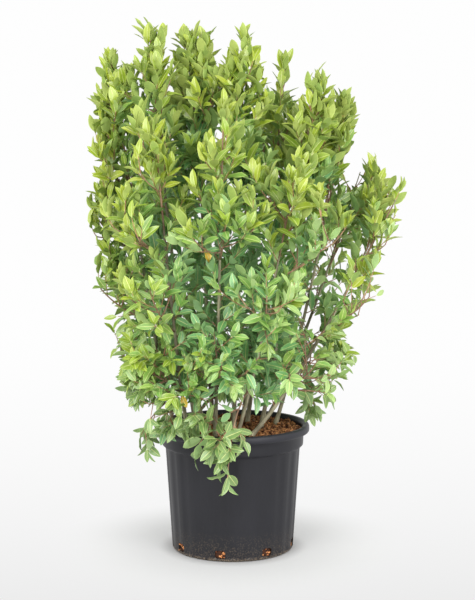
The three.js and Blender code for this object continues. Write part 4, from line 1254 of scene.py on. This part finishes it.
def pot_profile():
    """Rows of radius, height and share of the flutes' depth, from the middle of the underside over the
    rim to the middle of the floor, and the lowest row of the drain holes outside and inside."""
    foot, ledge, rim = FOOT_RADIUS, LEDGE_HEIGHT, POT_HEIGHT - RIM_DEPTH
    slope = (BODY_TOP_RADIUS - foot) / ledge
    holes = DRAIN_BOTTOM + DRAIN_HEIGHT * np.arange(HOLE_ROWS + 1) / HOLE_ROWS
    outer = [[0, 0, 0], [70, 0, 0], [130, 0, 0], [foot - FOOT_ROUNDING, 0, 0], [foot - 3, 0.9, 0],
             [foot - 0.4, 3, 0], [foot + 0.4, 4.6, 0], [foot + 0.1, 5.8, 0],
             [foot + slope * 6.8, 6.8, 0.4]]
    body = np.concatenate([holes, [38, 60, 100, 145, 190, 230, 256, 264, 268.5]])
    outer += [[foot + slope * z, z, 1 if z < 262 else 0.5] for z in body]
    outer += [[BODY_TOP_RADIUS + 3, ledge, 0.3], [COLLAR_RADIUS - 1.5, ledge + 1.2, 0.5],
              [COLLAR_RADIUS - 0.2, ledge + 3.4, 0.3], [COLLAR_RADIUS, ledge + 8, 0],
              [COLLAR_RADIUS + 0.6, ledge + 22, 0], [COLLAR_RADIUS + 1, rim - 3, 0],
              [COLLAR_RADIUS + 2.4, rim - 0.6, 0], [RIM_RADIUS - 6, rim - 0.2, 0],
              [RIM_RADIUS - 2.2, rim + 0.6, 0], [RIM_RADIUS - 0.5, rim + 3, 0], [RIM_RADIUS, rim + 7, 0],
              [RIM_RADIUS - 0.4, POT_HEIGHT - 6, 0], [RIM_RADIUS - 2, POT_HEIGHT - 2.4, 0],
              [RIM_RADIUS - 5, POT_HEIGHT - 0.4, 0], [RIM_RADIUS - 9, POT_HEIGHT, 0],
              [RIM_RADIUS - 13.5, POT_HEIGHT - 0.9, 0], [RIM_RADIUS - 16.4, POT_HEIGHT - 3.4, 0],
              [RIM_RADIUS - 18.4, POT_HEIGHT - 9, 0]]
    inside = COLLAR_RADIUS - WALL
    inner = [[inside, ledge + 12, 0], [inside, ledge + 5, 0], [BODY_TOP_RADIUS - WALL, ledge + 2, 0]]
    inner += [[foot - WALL + slope * z, z, 0.5] for z in (230, 190, 145, 100, 60, 38)]
    first, second = sum(row[1] < DRAIN_BOTTOM for row in outer), len(outer) + len(inner)
    inner += [[foot - WALL + slope * z, z, 0.5] for z in holes[::-1]]
    inner += [[foot - WALL, WALL + 1, 0], [foot - WALL - 3, WALL, 0], [90, WALL, 0], [0, WALL, 0]]
    return np.array(outer + inner), first, second


def pot_surface(flutes, depth):
    """A profile turned round the axis. Its radius is less by the flute's depth where the cosine of
    the flutes' count times the turn is high, between the foot and the ledge. Grid cells over the
    drain holes are left out on both sides of the wall, and a band joins the two."""
    profile, first, second = pot_profile()
    half = math.degrees(math.asin(DRAIN_WIDTH / 2 / FOOT_RADIUS))
    sector = 360 / DRAIN_COUNT
    hole_turns = np.linspace(-half, half, HOLE_COLUMNS + 1)[:-1]
    wall_turns = np.linspace(half, sector - half, SECTOR_COLUMNS - HOLE_COLUMNS + 1)[:-1]
    sector_turns = np.concatenate([hole_turns, wall_turns])
    turns = (np.arange(DRAIN_COUNT)[:, None] * sector + sector_turns).ravel() - 90 + DRAIN_TURN
    turns = np.radians(turns)
    columns = len(turns)
    flute = smooth_step(*FLUTE_EDGES, np.cos(flutes * turns)) if flutes else np.zeros(columns)
    radius = profile[:, 0, None] - depth * profile[:, 2, None] * flute
    points = np.stack([radius * np.cos(turns), radius * np.sin(turns),
                       np.broadcast_to(profile[:, 1, None], radius.shape)], -1).reshape(-1, 3)

    rings = np.arange(1, len(profile) - 2)
    at_hole = [(rings >= lowest) & (rings < lowest + HOLE_ROWS) for lowest in (first, second)]
    open_cells = (at_hole[0] | at_hole[1])[:, None] & (np.arange(columns) % SECTOR_COLUMNS < HOLE_COLUMNS)
    faces = [ring_quads(rings, columns)[~open_cells]]

    # The band through the wall goes once round each hole, whose corners are cut off by a triangle
    wide, tall = HOLE_COLUMNS, HOLE_ROWS
    loop = [(k, 0) for k in range(1, wide)] + [(wide, k) for k in range(1, tall)]
    loop += [(k, tall) for k in range(wide - 1, 0, -1)] + [(0, k) for k in range(tall - 1, 0, -1)]
    loop = np.array(loop)
    starts = np.arange(DRAIN_COUNT)[:, None] * SECTOR_COLUMNS
    outside = (first + loop[:, 1]) * columns + (starts + loop[:, 0]) % columns
    within = (second + tall - loop[:, 1]) * columns + (starts + loop[:, 0]) % columns
    band = np.stack([outside, np.roll(outside, -1, 1), np.roll(within, -1, 1), within], -1)
    faces.append(band.reshape(-1, 4))
    corners = np.array([[(0, 0), (1, 0), (0, 1)], [(wide, 0), (wide, 1), (wide - 1, 0)],
                        [(wide, tall), (wide - 1, tall), (wide, tall - 1)],
                        [(0, tall), (0, tall - 1), (1, tall)]])
    for origin, sign in ((first, 1), (second + tall, -1)):
        rows = origin + sign * corners[..., 1]
        triangles = rows[None] * columns + (starts[:, :, None] + corners[None, ..., 0]) % columns
        faces.append(triangles.reshape(-1, 3))

    # The poles: each end ring is closed by a fan to one point on the axis
    centres = len(points) + np.arange(2)
    points = np.concatenate([points, [[0, 0, profile[0, 1]], [0, 0, profile[-1, 1]]]])
    for centre, ring in zip(centres, (1, len(profile) - 2)):
        around = ring * columns + np.arange(columns)
        faces.append(np.stack([np.full(columns, centre), around, np.roll(around, -1)], -1))
    used, renamed = np.unique(np.concatenate([group.ravel() for group in faces]), return_inverse=True)
    cuts = np.cumsum([group.size for group in faces])[:-1]
    faces = [part.reshape(group.shape) for part, group in zip(np.split(renamed, cuts), faces)]
    return points[used], faces


class LAUREL_OT_medium(bpy.types.Operator):
    """Fill the pot with its growing medium and strew loose chips on it"""
    bl_idname = "laurel.medium"
    bl_label = "Growing medium"

    def execute(self, context):
        sizes = context.scene.laurel_pot
        points, faces = filling_surface()
        dark, light = sizes.chip_dark, sizes.chip_light
        # The body under the chips is near black: partly the fibre's own dark colour, partly painted shade
        # between the chips and behind the drain holes
        body = make_piece("medium_body", points * MM, faces,
                          [chip_material("medium_fibre_painted_shade", solid(dark, 0.25), solid(dark, 0.7))])
        face_outwards(body)
        finish_piece(body, ["growing_medium"])
        points, faces = chip_surfaces(sizes.chips)
        behind = np.arange(len(faces[0])) >= CHIP_FACES * sizes.chips
        # Chips behind the drain holes get a lighter copy of the chip material, a painted light
        chips = make_piece("medium_chips", points * MM, faces,
                           [chip_material("medium_chip", dark, light),
                            chip_material("medium_chip_painted_lit", solid(dark, 2.5), solid(light, 1.5))],
                           behind.astype(int), smooth=False)
        finish_piece(chips, ["growing_medium"])
        return {"FINISHED"}


# Surface of the medium: rows of cells on its wall and as many on its top, columns round the axis,
# and how far it stays off the pot's wall and below its level top
FILLING_ROWS, FILLING_COLUMNS = 40, 120
FILLING_OFF, FILLING_BELOW = 2.2, 4.5
LUMP_DEPTH, LUMPS_IN, BUMP_HEIGHT = 0.6, 0.8, 2.2


def filling_surface():
    """A closed drum: its wall follows the pot's inside, its top is uneven by sums of sines."""
    slope = (BODY_TOP_RADIUS - FOOT_RADIUS) / LEDGE_HEIGHT
    top_radius = COLLAR_RADIUS - WALL - 1
    wall_heights = np.linspace(6, LEDGE_HEIGHT, FILLING_ROWS)
    wall = np.stack([FOOT_RADIUS - WALL - FILLING_OFF + slope * wall_heights, wall_heights], 1)
    top_radii = np.linspace(top_radius, 2, FILLING_ROWS)
    top = np.stack([top_radii, np.full(FILLING_ROWS, MEDIUM_TOP - FILLING_BELOW)], 1)
    below = [[2, 5], [150, 5]]
    profile = np.concatenate([below, wall, [[top_radius, LEDGE_HEIGHT + 8]], top])
    turns = np.arange(FILLING_COLUMNS) * math.tau / FILLING_COLUMNS
    radius = np.repeat(profile[:, :1], FILLING_COLUMNS, 1)
    height = np.repeat(profile[:, 1:], FILLING_COLUMNS, 1)
    lumps = (np.sin(turns * 17 + height * 0.31) + np.sin(turns * 31 - height * 0.47)
             + np.sin(turns * 47 + height * 0.83))
    row = np.arange(len(profile))[:, None]
    on_wall = (row >= len(below)) & (row < len(below) + FILLING_ROWS)
    radius = radius + np.where(on_wall, lumps * LUMP_DEPTH - LUMPS_IN, 0)
    x, y = radius * np.cos(turns), radius * np.sin(turns)
    bumps = np.sin(x * 0.21) * np.sin(y * 0.19) + 0.7 * np.sin(x * 0.43 + 1) * np.sin(y * 0.39 + 2)
    height = height + np.where(row > len(profile) - FILLING_ROWS, bumps * BUMP_HEIGHT, 0)
    points = np.stack([x, y, height], -1).reshape(-1, 3)
    last = len(profile) - 1
    around = np.arange(FILLING_COLUMNS)
    faces = [ring_quads(np.arange(last), FILLING_COLUMNS).reshape(-1, 4)]
    faces += [around[None, ::-1], (last * FILLING_COLUMNS + around)[None]]
    return points, faces


# Chips: length, width and thickness from least to most, on the top and behind the drain holes, how
# much their corners vary, how far from the rim they lie, and how they lie about the medium's level
CHIP_SIZES, LOW_CHIP_SIZES = ((5, 19), (3, 8), (2, 5)), ((5, 11), (3, 6), (2, 4))
CHIP_CORNERS, CHIP_FACES, CHIP_SPREAD, CHIP_FLATNESS = 8, 6, (0.62, 1.1), 0.35
CHIP_ROOM, CHIP_DEPTH, CHIP_DEPTH_SPREAD = 7, 2.2, 2.8
CHIPS_AT_HOLE, HOLE_TURN, HOLE_HEIGHTS = 10, 0.085, (9, 28)
CHIP_SEED = 5


def chip_surfaces(count):
    """Loose chips: boxes with each corner moved a little, turned at random, strewn on the top by the
    square root of a chance, so that they lie evenly, and a few behind each drain hole."""
    random = np.random.default_rng(CHIP_SEED)
    turn = random.uniform(0, math.tau, count)
    out = (COLLAR_RADIUS - WALL - CHIP_ROOM) * np.sqrt(random.uniform(0, 1, count))
    height = random.normal(MEDIUM_TOP - CHIP_DEPTH, CHIP_DEPTH_SPREAD, count)
    centre = np.stack([out * np.cos(turn), out * np.sin(turn), height], 1)
    sectors = np.arange(DRAIN_COUNT) * 360 / DRAIN_COUNT
    holes = np.radians(np.repeat(sectors - 90 + DRAIN_TURN, CHIPS_AT_HOLE))
    aside = holes + random.uniform(-HOLE_TURN, HOLE_TURN, len(holes))
    inside = FOOT_RADIUS - WALL - 2
    height = random.uniform(*HOLE_HEIGHTS, len(holes))
    behind = np.stack([inside * np.cos(aside), inside * np.sin(aside), height], 1)
    centre = np.concatenate([centre, behind])
    total = len(centre)
    size = np.stack([random.uniform(least, most, total) for least, most in CHIP_SIZES], 1)
    low_sizes = [random.uniform(least, most, len(holes)) for least, most in LOW_CHIP_SIZES]
    size[count:] = np.stack(low_sizes, 1)
    corners = np.array([[x, y, z] for x in (-1, 1) for y in (-1, 1) for z in (-1, 1)]) * 0.5
    shape = corners[None] * size[:, None] * random.uniform(*CHIP_SPREAD, (total, CHIP_CORNERS, 3))
    axis = unit(random.normal(0, 1, (total, 3)) * np.array([1, 1, CHIP_FLATNESS]))
    other = unit(np.cross(axis, random.normal(0, 1, (total, 3))))
    third = np.cross(axis, other)
    points = (centre[:, None] + shape[..., :1] * axis[:, None] + shape[..., 1:2] * other[:, None]
              + shape[..., 2:] * third[:, None])
    box = np.array([[0, 1, 3, 2], [4, 6, 7, 5], [0, 4, 5, 1], [2, 3, 7, 6], [0, 2, 6, 4], [1, 5, 7, 3]])
    faces = (box[None] + (np.arange(total) * CHIP_CORNERS)[:, None, None]).reshape(-1, 4)
    return points.reshape(-1, 3), [faces]


def foliage_nodes():
    return [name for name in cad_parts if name.startswith("foliage_")]


BOUGH_SIDES, BOUGH_RINGS = 7, 9
TWIG_SIDES, TWIG_RADII = 5, (1.35, 0.75)


class LAUREL_OT_wood(bpy.types.Operator):
    """Grow the stems with their bark, the boughs and the fine twigs"""
    bl_idname = "laurel.wood"
    bl_label = "Stems and twigs"

    def execute(self, context):
        colours = context.scene.laurel_wood
        stems, boughs, twig_lines, _ = grow_crown(context.scene.laurel_leaves)
        points, quads, ends = stem_tubes(stems)
        bark = bark_material("stem_bark", colours.stem_dark, colours.stem_light)
        piece = make_piece("stems", points * MM, [quads, ends], [bark])
        finish_piece(piece, ["stem_" + stem["name"] for stem in stems])

        share = np.linspace(0, 1, BOUGH_RINGS)
        lines = np.array([line.at(share) for line, _, _ in boughs])
        radii = np.array([mixed(root, tip, share) for _, root, tip in boughs])
        points, quads, ends = tubes(lines, radii, BOUGH_SIDES)
        bark = bark_material("bough_bark", colours.bough_dark, colours.bough_light, 0.7)
        piece = make_piece("boughs", points * MM, [quads, ends], [bark])
        finish_piece(piece, foliage_nodes())

        radii = np.broadcast_to(np.linspace(*TWIG_RADII, twig_lines.shape[1]), twig_lines.shape[:2])
        points, quads, ends = tubes(twig_lines, radii, TWIG_SIDES)
        bark = bark_material("twig_bark", colours.twig_dark, colours.twig_light, 0.6)
        piece = make_piece("twigs", points * MM, [quads, ends], [bark])
        finish_piece(piece, foliage_nodes())
        return {"FINISHED"}


# Stems as tubes: rings and sides, how far the wood stays short of the stem's top, how much thinner
# it ends, and the height and the distance of the leaf scars, the ridges and the roughness
STEM_RINGS, STEM_SIDES = 96, 14
TOP_BARE, TOP_THINNING, FOOT_SUNK = 70, 0.4, 6
SCAR_HEIGHT, SCAR_DISTANCE, SCAR_POWER = 0.07, 27, 8
RIDGES, RIDGE_HEIGHT, RIDGE_TWIST = 3, 0.05, 60
ROUGH_SIDES, ROUGH_HEIGHT, ROUGH_DISTANCES = 7, 0.03, (5, 11)


def stem_tubes(stems):
    """Stems from foot to tip. The radius swells at the old leaf scars, runs in shallow ridges that
    twist slowly, and is uneven by sums of sines of the turn and the height."""
    share = np.linspace(0, 1, STEM_RINGS)
    lines = np.array([stem["whole"].at(share * (1 - TOP_BARE / stem["whole"].length)) for stem in stems])
    turn = np.arange(STEM_SIDES) * math.tau / STEM_SIDES
    radii = []
    for number, stem in enumerate(stems):
        above = (share - stem["tip_share"]) / (1 - stem["tip_share"])
        along = share / stem["tip_share"]
        base = np.where(along < 1, stem_radius(stem["radius"], along),
                        stem["radius"] * STEM_TIP_SHARE * mixed(1, TOP_THINNING, above))
        height = (share * stem["whole"].length)[:, None]
        scars = SCAR_HEIGHT * np.maximum(0, np.cos(height / SCAR_DISTANCE + number)) ** SCAR_POWER
        ridges = RIDGE_HEIGHT * np.cos(RIDGES * turn + height / RIDGE_TWIST + number)
        rough = (ROUGH_HEIGHT * np.sin(ROUGH_SIDES * turn + height / ROUGH_DISTANCES[0])
                 * np.sin(height / ROUGH_DISTANCES[1] + number))
        radii.append(base[:, None] * (1 + scars + ridges + rough))
    lines[:, 0, 2] = MEDIUM_TOP - FOOT_SUNK
    return tubes(lines, np.array(radii), STEM_SIDES)


class LAUREL_OT_leaves(bpy.types.Operator):
    """Clothe the twigs with leaves, joined tint by tint"""
    bl_idname = "laurel.leaves"
    bl_label = "Leaves"

    def execute(self, context):
        sizes = context.scene.laurel_leaves
        leaves = grow_crown(sizes)[3]
        rib = plain_material("leaf_rib", sizes.rib, 0.5, 90)
        most = MOST_TRIANGLES // FACES_OF_A_LEAF
        for number, kind in enumerate(LEAF_KINDS):
            colour = np.array(getattr(sizes, kind))
            blade = blade_material("leaf_" + kind, colour, roughness=0.34, gloss=0.9)
            pale = mixed(colour, np.array(PALE), PALE_SHARE)
            under = blade_material("leaf_under_" + kind, pale, roughness=0.6, gloss=0.4)
            chosen = np.flatnonzero(leaves["kind"] == number)
            parts = np.array_split(chosen, math.ceil(len(chosen) / most)) if len(chosen) else []
            for turn, part in enumerate(parts):
                name = f"leaves_{kind}_{turn + 1}" if len(parts) > 1 else "leaves_" + kind
                points, faces, material, uv, tone, rims = leaf_mesh(leaves, part)
                piece = make_piece(name, points, faces, [blade, rib, under], material, uv, tone)
                mark_rims(piece, rims)
                finish_piece(piece, foliage_nodes())
        return {"FINISHED"}


# Stage, in metres and degrees: the floor's radius and sides, the two lamps at equal places left and
# right, and how far the camera looks down, in radians
FLOOR_RADIUS, FLOOR_SIDES, FLOOR_BELOW = 40, 64, 0.0005
LAMP_ASIDE, LAMP_BEFORE, LAMP_HEIGHT, LAMP_SIZE = 1.7, 2.8, 1.65, 2.6
LAMP_TILT, LAMP_TURN = 72, 31
SENSOR_WIDTH, CAMERA_DOWN = 36, 0.098


class LAUREL_OT_stage(bpy.types.Operator):
    """Set the floor, the soft light and the camera"""
    bl_idname = "laurel.stage"
    bl_label = "Stage"

    def execute(self, context):
        scene, sizes = context.scene, context.scene.laurel_stage
        turns = np.arange(FLOOR_SIDES) * math.tau / FLOOR_SIDES
        ring = np.stack([np.cos(turns), np.sin(turns), np.zeros(FLOOR_SIDES)], 1) * FLOOR_RADIUS
        paper = floor_material(sizes.floor_near, sizes.floor_far, sizes.surround)
        floor = make_piece("floor", ring, [np.arange(FLOOR_SIDES)[None]], [paper], smooth=False)
        floor.location.z = -FLOOR_BELOW
        floor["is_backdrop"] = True

        world = bpy.data.worlds.new("studio")
        world.use_nodes = True
        background = next(node for node in world.node_tree.nodes if node.type == "BACKGROUND")
        background.inputs["Color"].default_value = (1, 1, 1, 1)
        background.inputs["Strength"].default_value = sizes.surround
        scene.world = world
        scene.view_settings.view_transform = "Standard"
        scene.view_settings.look = "None"

        for name, side, power in (("key", -1, sizes.key), ("fill", 1, sizes.fill)):
            light = bpy.data.lights.new(name, "AREA")
            light.shape = "DISK"
            light.size = LAMP_SIZE
            light.energy = power
            lamp = bpy.data.objects.new(name, light)
            lamp.location = (LAMP_ASIDE * side, -LAMP_BEFORE, LAMP_HEIGHT)
            lamp.rotation_euler = (math.radians(LAMP_TILT), 0, math.radians(LAMP_TURN * side))
            scene.collection.objects.link(lamp)

        lens = bpy.data.cameras.new("camera")
        lens.sensor_width = SENSOR_WIDTH
        lens.lens = sizes.focal
        camera = bpy.data.objects.new("camera", lens)
        camera.location = (EYE_ACROSS * MM, -EYE_DISTANCE * MM, EYE_HEIGHT * MM)
        camera.rotation_euler = (math.pi / 2 - CAMERA_DOWN, 0, 0)
        scene.collection.objects.link(camera)
        scene.camera = camera
        return {"FINISHED"}


class LAUREL_PT_panel(bpy.types.Panel):
    """Lists the pieces of the laurel"""
    bl_label = "Laurel"
    bl_space_type = "VIEW_3D"
    bl_region_type = "UI"
    bl_category = "Laurel"

    def draw(self, context):
        for operator in OPERATORS:
            self.layout.operator(operator.bl_idname)
        for group in GROUPS:
            settings = getattr(context.scene, group)
            box = self.layout.box()
            for name in settings.bl_rna.properties.keys():
                if name not in ("rna_type", "name"):
                    box.prop(settings, name)


OPERATORS = (LAUREL_OT_stage, LAUREL_OT_pot, LAUREL_OT_medium, LAUREL_OT_wood, LAUREL_OT_leaves)
GROUPS = {
    "laurel_leaves": LaurelLeaves,
    "laurel_wood": LaurelWood,
    "laurel_pot": LaurelPot,
    "laurel_stage": LaurelStage,
}


def register():
    for kind in (*GROUPS.values(), *OPERATORS, LAUREL_PT_panel):
        bpy.utils.register_class(kind)
    for name, kind in GROUPS.items():
        setattr(bpy.types.Scene, name, PointerProperty(type=kind))


def unregister():
    for name in GROUPS:
        delattr(bpy.types.Scene, name)
    for kind in (LAUREL_PT_panel, *reversed(OPERATORS), *reversed(GROUPS.values())):
        bpy.utils.unregister_class(kind)


def main():
    register()
    bpy.ops.laurel.stage()
    bpy.ops.laurel.pot()
    bpy.ops.laurel.medium()
    bpy.ops.laurel.wood()
    bpy.ops.laurel.leaves()
    boxes = {"cad": CAD_BOX, "visual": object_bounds()}
    {name: [list(corner) for corner in box] for name, box in boxes.items()}


if __name__ == "__main__":
    main()
